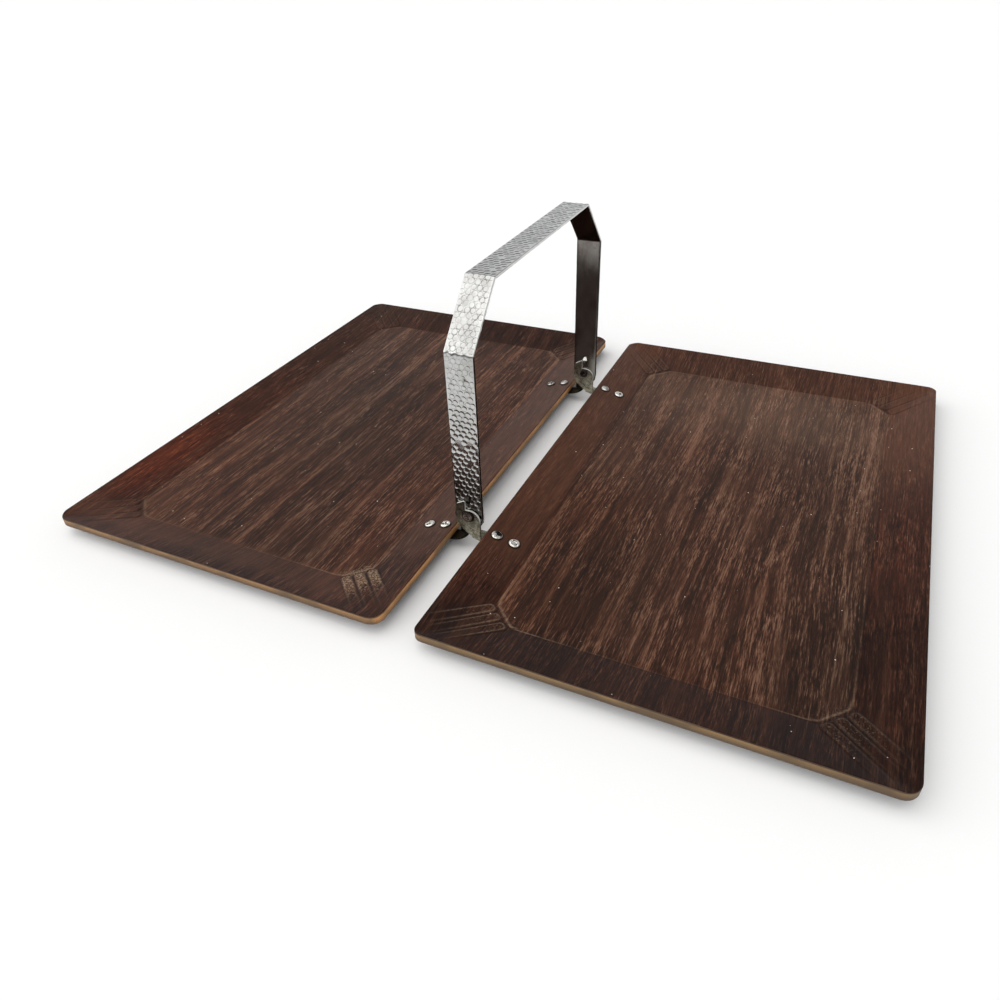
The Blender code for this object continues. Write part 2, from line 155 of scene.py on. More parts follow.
# ---- walnut veneer ---------------------------------------------------------
def veneer(name, shift, red, gain, patch=None, sheen_patch=None):
    """Satin-lacquered dark walnut veneer, its grain along Y."""
    m, t, s = new_material(name)
    obj = node(t, "ShaderNodeTexCoord").outputs["Object"]
    mm = coords(t, (1000.0, 1000.0, 1000.0), shift, obj)
    # the grain wanders a little sideways
    wander = noise_tex(t, coords(t, (0.010, 0.0040, 0.0), vector=mm), detail=2.0)
    sep = node(t, "ShaderNodeSeparateXYZ", {"Vector": mm})
    x = math_node(t, "MULTIPLY_ADD", math_node(t, "SUBTRACT", wander, 0.5), 14.0, sep.outputs["X"])
    grain = node(t, "ShaderNodeCombineXYZ", {"X": x, "Y": sep.outputs["Y"], "Z": 0.0}).outputs[0]
    band = noise_tex(t, coords(t, (0.098, 0.0025, 1.0), vector=grain), detail=3.0, rough=0.55)
    stripe = noise_tex(t, coords(t, (0.36, 0.0120, 1.0), (3.1, 7.7, 0.0), vector=grain), detail=3.0, rough=0.60)
    fleck = noise_tex(t, coords(t, (1.10, 0.062, 1.0), (9.0, 1.3, 0.0), vector=grain), detail=3.0, rough=0.62)
    fibre = noise_tex(t, coords(t, (2.10, 0.190, 1.0), (2.0, 5.0, 0.0), vector=grain), detail=3.0, rough=0.65)
    pore = noise_tex(t, coords(t, (2.3, 0.150, 1.0), (6.0, 8.0, 0.0), vector=grain), detail=1.0, rough=0.5)
    vein = noise_tex(t, coords(t, (0.75, 0.0075, 1.0), (4.0, 2.0, 0.0), vector=grain), detail=1.0, rough=0.5)
    figure = noise_tex(t, coords(t, (0.080, 0.030, 1.0), (5.0, 6.0, 0.0), vector=grain), detail=2.0, rough=0.5)
    lively = math_node(t, "MULTIPLY_ADD", ramp(t, figure, [(0.36, 0.0), (0.64, 1.0)]), 1.15, 0.45)
    well = attribute(t, "well")
    wide = math_node(t, "MULTIPLY_ADD", well, 0.60, 0.40)   # the rims are calmer
    lively = math_node(t, "MULTIPLY", lively, math_node(t, "MULTIPLY_ADD", well, 0.30, 0.70))
    v = math_node(t, "MULTIPLY_ADD", math_node(t, "MULTIPLY", math_node(t, "SUBTRACT", band, 0.5), wide), 1.05, 0.5)
    calm = math_node(t, "MULTIPLY_ADD", well, 0.45, 0.55)
    v = math_node(t, "MULTIPLY_ADD", math_node(t, "MULTIPLY", math_node(t, "SUBTRACT", stripe, 0.5), calm), 1.05, v)
    v = math_node(t, "MULTIPLY_ADD", math_node(t, "MULTIPLY", math_node(t, "SUBTRACT", fleck, 0.5), lively), 1.20, v)
    v = math_node(t, "MULTIPLY_ADD", math_node(t, "MULTIPLY", math_node(t, "SUBTRACT", fibre, 0.5), lively), 1.05, v)
    v = math_node(t, "MULTIPLY_ADD", math_node(t, "SUBTRACT", v, 0.5), gain, 0.5)
    wood = ramp(t, v, [(0.16, (0.0092, 0.0031, 0.0017)), (0.34, (0.0215, 0.0078, 0.0044)),
                       (0.50, (0.0430, 0.0174, 0.0097)), (0.64, (0.0770, 0.0378, 0.0235)),
                       (0.86, (0.1560, 0.0930, 0.0630))])
    # broad warm and cool zones
    zone = noise_tex(t, coords(t, (0.014, 0.005, 1.0), (1.0, 4.0, 0.0), vector=mm), detail=2.0)
    warm = ramp(t, zone, [(0.38, 0.0), (0.62, 1.0)])
    wood = mix(t, math_node(t, "MULTIPLY", warm, red), wood, (1.18, 0.88, 0.74), "MULTIPLY")
    # light dashes where the figure turns
    glint = math_node(t, "MULTIPLY", ramp(t, fleck, [(0.54, 0.0), (0.68, 1.0)]),
                      ramp(t, fibre, [(0.48, 0.0), (0.60, 1.0)]))
    glint = math_node(t, "MULTIPLY", glint, lively)
    wood = mix(t, math_node(t, "MULTIPLY", glint, 0.48), wood, (0.240, 0.160, 0.116))
    # dark veins and open pores
    dark = ramp(t, pore, [(0.34, 1.0), (0.43, 0.0)])
    deep = ramp(t, vein, [(0.30, 1.0), (0.42, 0.0)])
    wood = mix(t, math_node(t, "MULTIPLY", deep, 0.60), wood, (0.0125, 0.0048, 0.0030))
    wood = mix(t, math_node(t, "MULTIPLY", dark, 0.60), wood, (0.0095, 0.0042, 0.0028))
    if patch is not None:                                   # a worn, sun-warmed patch
        (px, py), (rx, ry), amount = patch
        at = node(t, "ShaderNodeMapping", {"Vector": obj, "Location": (-px / rx, -py / ry, 0.0),
                                           "Scale": (1000.0 / rx, 1000.0 / ry, 0.0)}).outputs[0]
        near = node(t, "ShaderNodeVectorMath", {0: at}, operation="LENGTH").outputs["Value"]
        near = math_node(t, "MULTIPLY_ADD", math_node(t, "SUBTRACT", stripe, 0.5), 1.8, near)
        f = ramp(t, near, [(0.25, 1.0), (1.0, 0.0)], "EASE")
        wood = mix(t, math_node(t, "MULTIPLY", f, amount), wood, (2.3, 1.45, 0.95), "MULTIPLY")
    # the well gets a faint haze of dust and painted sheen; the rims are made darker
    dust = noise_tex(t, coords(t, (0.020, 0.013, 0.02), (2.0, 9.0, 0.0), vector=mm), detail=3.0, rough=0.6)
    dust_and_sheen = math_node(t, "MULTIPLY", well, math_node(t, "MULTIPLY_ADD", dust, 0.055, 0.0))
    if sheen_patch is not None:                                    # a patch of painted sheen on the well
        (px, py), (rx, ry), amount = sheen_patch
        at = node(t, "ShaderNodeMapping", {"Vector": obj, "Location": (-px / rx, -py / ry, 0.0),
                                           "Scale": (1000.0 / rx, 1000.0 / ry, 0.0)}).outputs[0]
        near = node(t, "ShaderNodeVectorMath", {0: at}, operation="LENGTH").outputs["Value"]
        near = math_node(t, "MULTIPLY_ADD", math_node(t, "SUBTRACT", dust, 0.5), 1.2, near)
        f = math_node(t, "MULTIPLY", ramp(t, near, [(0.20, 1.0), (1.0, 0.0)], "EASE"), amount)
        dust_and_sheen = math_node(t, "MULTIPLY_ADD", math_node(t, "MULTIPLY", f, well), math_node(t, "MULTIPLY_ADD", fleck, 1.0, 0.5), dust_and_sheen)
    wood = mix(t, dust_and_sheen, wood, (0.320, 0.212, 0.152))
    wood = mix(t, math_node(t, "SUBTRACT", 1.0, well), wood, (0.74, 0.68, 0.68), "MULTIPLY")
    # painted sheen: paler in places; ruddier in places
    pale = math_node(t, "MULTIPLY", attribute(t, "pale"), math_node(t, "MULTIPLY_ADD", fleck, 0.9, 0.25))
    wood = mix(t, math_node(t, "MULTIPLY", pale, 0.60), wood, (0.130, 0.068, 0.046))
    wood = mix(t, attribute(t, "ruddy"), wood, (1.10, 0.88, 0.73), "MULTIPLY")
    # painted shade: the veneer multiplied darker by position
    painted_shade = attribute(t, "painted_shade")
    wood = mix(t, 1.0, wood, node(t, "ShaderNodeCombineColor", {0: painted_shade, 1: painted_shade, 2: painted_shade}).outputs[0], "MULTIPLY")
    # finish worn through in specks on the high flutes and the well's corners
    grit = noise_tex(t, coords(t, (1.0, 1.0, 1.0), (7.0, 2.0, 0.0), vector=mm), detail=4.0, rough=0.75)
    worn = attribute(t, "worn")
    rub = ramp(t, math_node(t, "MULTIPLY_ADD", worn, 0.13, grit), [(0.590, 0.0), (0.665, 1.0)])
    rub = math_node(t, "MULTIPLY", math_node(t, "MULTIPLY", rub, worn), 0.85)
    wood = mix(t, rub, wood, (0.300, 0.205, 0.130))
    # lacquer residue and painted highlight: paler along the crease of the well and the flutes
    crease = attribute(t, "crease")
    broken = ramp(t, noise_tex(t, coords(t, (0.55, 0.55, 0.55), vector=mm), detail=3.0, rough=0.7),
                  [(0.34, 0.20), (0.58, 1.0)])
    wood = mix(t, math_node(t, "MULTIPLY", math_node(t, "MULTIPLY", crease, broken), 0.80), wood, (0.245, 0.165, 0.112))
    shade = attribute(t, "shade")
    wood = mix(t, shade, wood, (0.0085, 0.0048, 0.0034))
    # dust specks
    vor = node(t, "ShaderNodeTexVoronoi", {"Vector": mm, "Scale": 0.085, "Randomness": 1.0}, feature="F1", voronoi_dimensions="2D")
    few = node(t, "ShaderNodeSeparateColor", {"Color": vor.outputs["Color"]}).outputs[0]
    size = math_node(t, "MULTIPLY_ADD", few, 0.16, -0.131)
    speck = math_node(t, "LESS_THAN", vor.outputs["Distance"], size)
    speck = math_node(t, "MULTIPLY", speck, attribute(t, "face_up"))
    wood = mix(t, math_node(t, "MULTIPLY", speck, 0.90), wood, (0.75, 0.67, 0.56))
    t.links.new(wood, s.inputs["Base Color"])
    # satin lacquer
    scuff = noise_tex(t, coords(t, (0.03, 0.02, 0.03), (5.0, 0.0, 0.0), vector=mm), detail=4.0, rough=0.65)
    rough = math_node(t, "MULTIPLY_ADD", scuff, 0.20, 0.30)
    rough = math_node(t, "MULTIPLY_ADD", fibre, 0.10, rough)
    rough = math_node(t, "MULTIPLY_ADD", well, 0.06, rough)
    t.links.new(rough, s.inputs["Roughness"])
    s.inputs["Specular IOR Level"].default_value = 0.12
    s.inputs["Coat Weight"].default_value = 0.02
    s.inputs["Coat Roughness"].default_value = 0.15
    h = math_node(t, "MULTIPLY_ADD", fibre, 0.5, math_node(t, "MULTIPLY", dark, -0.8))
    h = math_node(t, "MULTIPLY_ADD", stripe, 0.6, h)
    h = math_node(t, "MULTIPLY_ADD", math_node(t, "MULTIPLY", grit, worn), 0.8, h)
    n1 = bump(t, h, 0.60, 0.00007)
    t.links.new(n1, s.inputs["Normal"])
    return m


def ply_edge(name, shift, orange):
    """The sawn edge: tan plies under a thin dark veneer line."""
    m, t, s = new_material(name)
    ply = attribute(t, "ply")
    mm = coords(t, (1000.0, 1000.0, 1000.0), shift)
    wob = noise_tex(t, coords(t, (0.05, 0.05, 0.05), vector=mm), detail=3.0, rough=0.6)
    p = math_node(t, "MULTIPLY_ADD", math_node(t, "SUBTRACT", wob, 0.5), 0.05, ply)
    tan = (0.262, 0.146, 0.062) if orange else (0.212, 0.128, 0.055)
    mid = (0.200, 0.110, 0.044) if orange else (0.160, 0.098, 0.043)
    low = (0.125, 0.070, 0.034) if orange else (0.100, 0.064, 0.034)
    layers = ramp(t, p, [(0.0, (0.020, 0.010, 0.007)), (0.10, (0.030, 0.015, 0.010)), (0.14, tan),
                         (0.36, tan), (0.40, mid), (0.60, mid), (0.64, low), (0.86, low),
                         (0.91, (0.070, 0.052, 0.040)), (1.0, (0.045, 0.036, 0.030))])
    end = noise_tex(t, coords(t, (1.4, 1.4, 6.0), vector=mm), detail=4.0, rough=0.7)
    colour = mix(t, 0.85, layers, ramp(t, end, [(0.30, 0.55), (0.52, 1.0), (0.72, 1.25)]), "MULTIPLY")
    grime = noise_tex(t, coords(t, (0.035, 0.035, 0.1), (3.0, 0.0, 0.0), vector=mm), detail=4.0, rough=0.6)
    colour = mix(t, ramp(t, grime, [(0.44, 0.0), (0.60, 0.72)]), colour, (0.075, 0.048, 0.028))
    if orange:                                              # painted light: the inner edge brightened along the gap, as floor bounce would light it
        at = node(t, "ShaderNodeSeparateXYZ", {"Vector": node(t, "ShaderNodeTexCoord").outputs["Object"]}).outputs["X"]
        inner = ramp(t, math_node(t, "MULTIPLY_ADD", at, 100.0, 1.5), [(0.20, 0.0), (0.50, 1.0)])
        colour = mix(t, inner, colour, (2.4, 2.1, 1.7), "MULTIPLY")
    t.links.new(colour, s.inputs["Base Color"])
    t.links.new(math_node(t, "MULTIPLY_ADD", end, 0.25, 0.48), s.inputs["Roughness"])
    s.inputs["Specular IOR Level"].default_value = 0.30
    t.links.new(bump(t, end, 0.6, 0.00010), s.inputs["Normal"])
    return m


# ---- metals ----------------------------------------------------------------
def plated(name, smooth_face):
    """Plated steel, a little dulled; the inner face has drawing marks."""
    m, t, s = new_material(name)
    mm = coords(t, (1000.0, 1000.0, 1000.0))
    cloud = noise_tex(t, coords(t, (0.11, 0.07, 0.07), vector=mm), detail=5.0, rough=0.65)
    fine = noise_tex(t, coords(t, (1.9, 1.9, 1.9), vector=mm), detail=3.0, rough=0.6)
    if smooth_face:
        colour = ramp(t, cloud, [(0.32, (0.130, 0.110, 0.096)), (0.52, (0.215, 0.200, 0.186)), (0.70, (0.275, 0.265, 0.250))])
        spots = ramp(t, noise_tex(t, coords(t, (0.32, 0.32, 0.32), (4.0, 2.0, 0.0), vector=mm), detail=4.0, rough=0.7),
                     [(0.62, 0.0), (0.72, 0.6)])
        colour = mix(t, spots, colour, (0.085, 0.058, 0.040))
        # painted shade on the inner face's slants and lower legs
        colour = mix(t, attribute(t, "underside_shade"), colour, (0.030, 0.025, 0.022))
        rubbed = attribute(t, "rubbed")
        colour = mix(t, math_node(t, "MULTIPLY", rubbed, math_node(t, "MULTIPLY_ADD", cloud, 0.8, 0.15)), colour, (0.42, 0.435, 0.38))
        lines = noise_tex(t, coords(t, (3.4, 0.05, 0.045), vector=mm), detail=4.0, rough=0.7)
        r = math_node(t, "MULTIPLY_ADD", lines, 0.08, math_node(t, "MULTIPLY_ADD", cloud, 0.08, 0.06))
        t.links.new(math_node(t, "MULTIPLY_ADD", rubbed, 0.26, r), s.inputs["Roughness"])
        t.links.new(bump(t, lines, 0.35, 0.00003), s.inputs["Normal"])
    else:
        pit = attribute(t, "pit")
        colour = ramp(t, cloud, [(0.30, (0.42, 0.42, 0.405)), (0.50, (0.53, 0.53, 0.52)), (0.68, (0.60, 0.60, 0.59))])
        grime = math_node(t, "MULTIPLY", ramp(t, pit, [(0.35, 0.0), (1.0, 1.0)]),
                          ramp(t, noise_tex(t, coords(t, (0.20, 0.20, 0.20), (1.0, 6.0, 0.0), vector=mm), detail=3.0),
                               [(0.42, 0.0), (0.66, 0.25)]))
        colour = mix(t, grime, colour, (0.24, 0.225, 0.205))
        # painted shade at the hammer marks' lips
        ring = math_node(t, "MULTIPLY", attribute(t, "lip"),
                         ramp(t, noise_tex(t, coords(t, (0.30, 0.30, 0.30), (8.0, 2.0, 0.0), vector=mm), detail=3.0),
                              [(0.36, 0.25), (0.60, 0.75)]))
        colour = mix(t, ring, colour, (0.105, 0.100, 0.092))
        # painted shade low on the legs and on their side faces
        colour = mix(t, attribute(t, "leg_shade"), colour, (0.048, 0.043, 0.037))
        colour = mix(t, attribute(t, "scar"), colour, (0.035, 0.033, 0.032))
        r = math_node(t, "MULTIPLY_ADD", fine, 0.10, math_node(t, "MULTIPLY_ADD", cloud, 0.10, 0.055))
        t.links.new(math_node(t, "MULTIPLY_ADD", attribute(t, "scar"), 0.3, r), s.inputs["Roughness"])
        t.links.new(bump(t, fine, 0.22, 0.00004), s.inputs["Normal"])
    t.links.new(colour, s.inputs["Base Color"])
    s.inputs["Metallic"].default_value = 1.0
    return m


def aged_steel(name, light, mid, dark, bright=0.75, low_rough=0.30, sheared=None, shaded_low=False):
    """Dull, mottled steel; sheared is the colour of a plate's cut edges
    above the trays (the plate's faces lie square to Y); the last flag darkens the low parts with painted shade,
    for the brackets whose flanges sit under the rim."""
    m, t, s = new_material(name)
    tex = node(t, "ShaderNodeTexCoord")
    mm = coords(t, (1000.0, 1000.0, 1000.0), vector=tex.outputs["Object"])
    cloud = noise_tex(t, coords(t, (0.34, 0.34, 0.34), vector=mm), detail=5.0, rough=0.66)
    fine = noise_tex(t, coords(t, (1.5, 1.5, 1.5), (3.0, 1.0, 2.0), vector=mm), detail=4.0, rough=0.70)
    v = math_node(t, "MULTIPLY_ADD", fine, 0.60, math_node(t, "MULTIPLY", cloud, 0.55))
    v = math_node(t, "SUBTRACT", v, 0.075)
    colour = ramp(t, v, [(0.38, dark), (0.50, mid), (0.62, light)])
    # dirt and painted shade, as each piece's attribute gives it
    colour = mix(t, attribute(t, "dirt_and_shade"), colour, (0.010, 0.008, 0.007))
    r = math_node(t, "MULTIPLY_ADD", v, 0.34, low_rough - 0.06)
    if sheared is not None:
        normal = node(t, "ShaderNodeSeparateXYZ", {"Vector": tex.outputs["Normal"]})
        at = node(t, "ShaderNodeSeparateXYZ", {"Vector": mm})
        high = ramp(t, math_node(t, "MULTIPLY_ADD", at.outputs["Z"], 0.05, -0.5), [(0.16, 0.0), (0.68, 1.0)])
        colour = mix(t, high, colour, (0.34, 0.31, 0.31), "MULTIPLY")
        # painted shade: the low parts darkened under the rim
        if shaded_low:
            low = ramp(t, math_node(t, "MULTIPLY", at.outputs["Z"], 0.05), [(0.48, 1.0), (0.82, 0.0)])
            colour = mix(t, low, colour, (0.13, 0.12, 0.11), "MULTIPLY")
        # painted shadow round the pivot heads and the smaller clinched ends
        up = math_node(t, "SUBTRACT", at.outputs["Z"], PIVOT_Z)
        away = math_node(t, "SQRT", math_node(t, "MULTIPLY_ADD", up, up,
                                              math_node(t, "MULTIPLY", at.outputs["X"], at.outputs["X"])))
        away = math_node(t, "MULTIPLY_ADD", math_node(t, "SUBTRACT", cloud, 0.5), 0.9, away)
        inner = math_node(t, "LESS_THAN", math_node(t, "ABSOLUTE", at.outputs["Y"]), LEG_MID)
        away = math_node(t, "MULTIPLY_ADD", inner, 1.25, away)             # the clinched ends are smaller than the heads
        ring = ramp(t, math_node(t, "MULTIPLY", away, 0.1), [(0.345, 0.92), (0.395, 0.0)])
        colour = mix(t, ring, colour, (0.012, 0.010, 0.008))
        cut = ramp(t, math_node(t, "ABSOLUTE", normal.outputs["Y"]), [(0.50, 1.0), (0.90, 0.0)])
        cut = math_node(t, "MULTIPLY", cut, ramp(t, math_node(t, "MULTIPLY_ADD", at.outputs["Z"], 0.05, -0.5),
                                                 [(0.30, 0.0), (0.44, 1.0)]))
        cut = math_node(t, "MULTIPLY", cut, ramp(t, fine, [(0.32, 0.55), (0.50, 1.0)]))
        colour = mix(t, math_node(t, "MULTIPLY", cut, bright), colour, sheared)
        r = math_node(t, "MULTIPLY_ADD", cut, 0.10, r)
        t.links.new(math_node(t, "MULTIPLY_ADD", cut, -0.85, 1.0), s.inputs["Metallic"])
    t.links.new(colour, s.inputs["Base Color"])
    t.links.new(r, s.inputs["Roughness"])
    if sheared is None:
        s.inputs["Metallic"].default_value = 1.0
    t.links.new(bump(t, v, 0.6, 0.00012), s.inputs["Normal"])
    return m


VENEER = {"right": veneer("walnut_right", (0.0, 0.0, 0.0), 0.45, 1.08, None, ((122.0, 112.0), (120.0, 76.0), 0.125)),
          "left": veneer("walnut_left", (431.0, 912.0, 0.0), 0.55, 1.04, ((-214.0, -92.0), (16.0, 62.0), 0.9))}
EDGE = {"right": ply_edge("ply_edge_right", (0.0, 0.0, 0.0), False),
        "left": ply_edge("ply_edge_left", (211.0, 57.0, 0.0), True)}
PLATED = plated("plated_hammered", False)
PLATED_IN = plated("plated_inner_face", True)
BRACKET = aged_steel("bracket_steel_aged", (0.520, 0.495, 0.385), (0.290, 0.272, 0.208), (0.100, 0.088, 0.066), 0.95, 0.30,
                     (0.78, 0.77, 0.72))
BRACKET_SHADED = aged_steel("bracket_steel_shaded", (0.520, 0.495, 0.385), (0.290, 0.272, 0.208), (0.100, 0.088, 0.066),
                          0.95, 0.30, (0.78, 0.77, 0.72), True)
PIVOT = aged_steel("pivot_steel_dark", (0.460, 0.370, 0.320), (0.140, 0.105, 0.088), (0.030, 0.022, 0.018), 0.55, 0.30)
KEY = aged_steel("stop_key_steel", (0.72, 0.70, 0.66), (0.56, 0.54, 0.50), (0.30, 0.28, 0.25), 0.85, 0.24)
KEY_DARK = aged_steel("stop_key_dark", (0.110, 0.100, 0.085), (0.050, 0.044, 0.036), (0.016, 0.014, 0.011), 0.6, 0.34)
RIVET = aged_steel("rivet_plated", (0.95, 0.93, 0.88), (0.84, 0.82, 0.76), (0.42, 0.39, 0.35), 0.6, 0.24)


# ---- mesh helpers ----------------------------------------------------------
def mesh_piece(name, verts, faces, materials, face_material=None, sharp=38.0, attributes=None):
    """A mesh object from millimetre points."""
    me = bpy.data.meshes.new(name)
    me.from_pydata((np.asarray(verts, float) * MM).tolist(), [], [list(map(int, f)) for f in faces])
    for m in materials:
        me.materials.append(m)
    if face_material is not None:
        me.polygons.foreach_set("material_index", np.asarray(face_material, np.int32))
    for key, values in (attributes or {}).items():
        a = me.attributes.new(key, "FLOAT", "POINT")
        a.data.foreach_set("value", np.asarray(values, np.float32))
    me.shade_smooth()
    me.set_sharp_from_angle(angle=math.radians(sharp))
    me.update()
    ob = bpy.data.objects.new(name, me)
    bpy.context.scene.collection.objects.link(ob)
    return ob


def give(piece, body, slot, *stands_for):
    bpy.context.view_layer.update()
    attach(piece, body)
    if stands_for:
        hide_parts(*stands_for)
    return piece


def smax(a, b, k):
    h = np.clip(0.5 + 0.5 * (a - b) / k, 0.0, 1.0)
    return b * (1.0 - h) + a * h + k * h * (1.0 - h)


def smooth(lo, hi, x):
    q = np.clip((x - lo) / (hi - lo), 0.0, 1.0)
    return q * q * (3.0 - 2.0 * q)


def value_noise(x, y, scale, seed, octaves=2):
    """Smooth noise on arrays, about -1 to 1."""
    flat = np.array([noise.fractal(Vector((a * scale + seed * 7.31, b * scale - seed * 3.17, seed * 1.9)), 1.0, 2.0,
                                   octaves) for a, b in zip(np.ravel(x), np.ravel(y))])
    return flat.reshape(np.shape(x))


# ---- tray panels -----------------------------------------------------------
FLUTES = (-6.8, 0.0, 6.8)
FLUTE_HALF, FLUTE_END, FLUTE_START, FLUTE_DEPTH = 2.72, 43.6, 7.0, 0.90


def flute_relief(dx, dy):
    """Relief of a corner's three flutes, and how near a point is to their
    pale edge lines (lacquer residue and painted highlight), their dark feet (painted shade) and their tops."""
    along, across = (dx + dy) / math.sqrt(2.0), (dx - dy) / math.sqrt(2.0)
    height = np.clip((along - FLUTE_START) / (FLUTE_END - FLUTE_START), 0.0, 1.0)
    inside, line, foot = np.zeros_like(dx), np.zeros_like(dx), np.zeros_like(dx)
    for c in FLUTES:
        q = np.maximum(along - (FLUTE_END - FLUTE_HALF), 0.0)
        p = np.abs(across - c)
        d = (q ** 2.6 + p ** 2.6) ** (1 / 2.6) - FLUTE_HALF      # a blunt round end
        inside = np.maximum(inside, smooth(0.50, -0.45, d))
        line = np.maximum(line, np.exp(-((d + 0.50) / 0.34) ** 2))
        foot = np.maximum(foot, np.exp(-((d - 0.50) / 0.42) ** 2))
    show = np.clip(height * 1.5, 0.0, 1.0) * (along > FLUTE_START)
    return FLUTE_DEPTH * height * inside, line * show, foot * show * (1.0 - inside), inside * np.clip((height - 0.28) * 2.2, 0.0, 1.0)


def grid_lines(length, fine_to, extra):
    """Distances across a panel: close in the moulded corners, open between."""
    r = EDGE_ROUND
    near = [r, 0.9, 1.7, 2.6, 3.6] + list(np.arange(4.4, 24.4, 0.6)) + list(np.arange(24.4, 28.0, 0.36)) \
        + list(np.arange(28.2, fine_to, 0.6))
    near = np.array(near)
    far = length - near[::-1]
    a, b = near[-1], far[0]
    zones = [(a, b)]
    middle = []
    for lo, hi in extra:
        middle += list(np.arange(lo, hi, 0.7))
        z = zones.pop()
        zones += [(z[0], lo), (hi, z[1])]
    for lo, hi in zones:
        n = max(2, int(round((hi - lo) / 4.5)))
        middle += list(lo + (hi - lo) * np.arange(1, n) / n)
        if hi != b:
            middle += [hi] if hi not in middle else []
    return np.array(sorted(set(np.round(np.concatenate([near, middle, far]), 5))))


EDGE_ROUND = 0.4
# the corners were rounded by hand and differ: (inner, outer) at the panel's own
# front, then (inner, outer) at its rear; the left panel lies the other way round
CORNERS = {"right": (4.6, 7.4, 7.0, 5.2), "left": (8.6, 6.6, 7.4, 7.8)}
WEAR = {"right": (0.34, 0.34, 0.26, 0.16), "left": (0.30, 0.14, 1.0, 0.16)}      # of the corners' flutes
LINES = {"right": (1.0, 0.34, 0.40, 0.12), "left": (0.30, 0.15, 0.62, 0.10)}      # pale lines at their edges: lacquer residue and painted highlight
RELIEF = {"right": (0.80, 0.85, 0.66, 0.50), "left": (0.55, 0.42, 1.0, 0.62)}
RIVET_SPOTS = [(x - HALF_GAP, y + TRAY_L / 2.0) for x in RIVET_X
               for y in (-(LEG_Y + CLEAR + PLATE_T) + RIVET_IN, LEG_Y - STRIP_T - CLEAR - PLATE_T + RIVET_IN)]


def sheen_and_shade(side, x, y):
    """How much painted sheen (pale), painted shade (under 1) and ruddiness the veneer gets: x from the centre
    plane, y along the trays.  The rims by the handle and the right tray's
    rear rims get a painted sheen, the right tray's front ones painted shade."""
    near = smooth(36.0, 29.0, x)
    ragged = value_noise(x, y, 1 / 21.0, 77, 2) * 9.0
    if side == "right":
        outer = smooth(193.0, 200.0, x)
        rear = smooth(138.0, 146.0, y)
        pale = np.maximum.reduce([0.80 * near * smooth(-125.0, -92.0, y + ragged), 0.88 * outer * smooth(0.0, 95.0, y + ragged),
                                  0.36 * rear, 0.24 * smooth(100.0, 50.0, x) * smooth(-30.0, 20.0, y),
                                  0.10 * np.exp(-((x + 0.4 * ragged - 112.0) / 22.0) ** 2) * smooth(-50.0, -90.0, y)])
        painted_shade = (1.0 - 0.30 * near * smooth(-120.0, -160.0, y)) * (1.0 - 0.46 * outer * smooth(-25.0, -95.0, y + ragged))
        painted_shade *= 1.0 - 0.24 * smooth(-138.0, -147.0, y)
        painted_shade *= 1.0 - 0.15 * smooth(-35.0, -85.0, y) * smooth(165.0, 135.0, x + ragged)
        painted_shade *= 1.0 - 0.30 * smooth(142.0, 176.0, x + ragged) * smooth(-52.0, -102.0, y) * (1.0 - outer)
        painted_shade *= 1.0 - 0.34 * np.exp(-((x + 0.4 * ragged - 70.0) / 13.0) ** 2) * smooth(-30.0, -80.0, y)
        painted_shade *= 1.0 - 0.09 * np.exp(-((x - 188.0) / 12.0) ** 2) * smooth(30.0, -20.0, y) * (1.0 - outer)
        ruddy = 0.40 + 0.60 * np.maximum.reduce([0.8 * near, smooth(100.0, 62.0, x) * smooth(10.0, -45.0, y), 0.9 * outer,
                                                 0.8 * smooth(-138.0, -146.0, y)])
    else:
        pale = np.maximum(0.62 * near * smooth(-125.0, -92.0, y + ragged) * smooth(158.0, 136.0, y + ragged),
                          0.52 * smooth(-138.0, -146.0, y) * smooth(-169.0, -156.0, y) * (1.0 - near))
        pale = np.maximum(pale, 0.12 * smooth(165.0, 190.0, x))
        painted_shade = 1.0 - 0.21 * smooth(52.0, 70.0, x) * smooth(168.0, 140.0, x) * smooth(80.0, 50.0, y)
        painted_shade *= 1.0 - 0.28 * smooth(140.0, 149.0, y) * (1.0 - near)
        ruddy = 0.48 + 0.52 * np.maximum(smooth(110.0, 200.0, x) * smooth(70.0, -50.0, y), 0.9 * smooth(-138.0, -146.0, y))
    return pale, painted_shade, ruddy


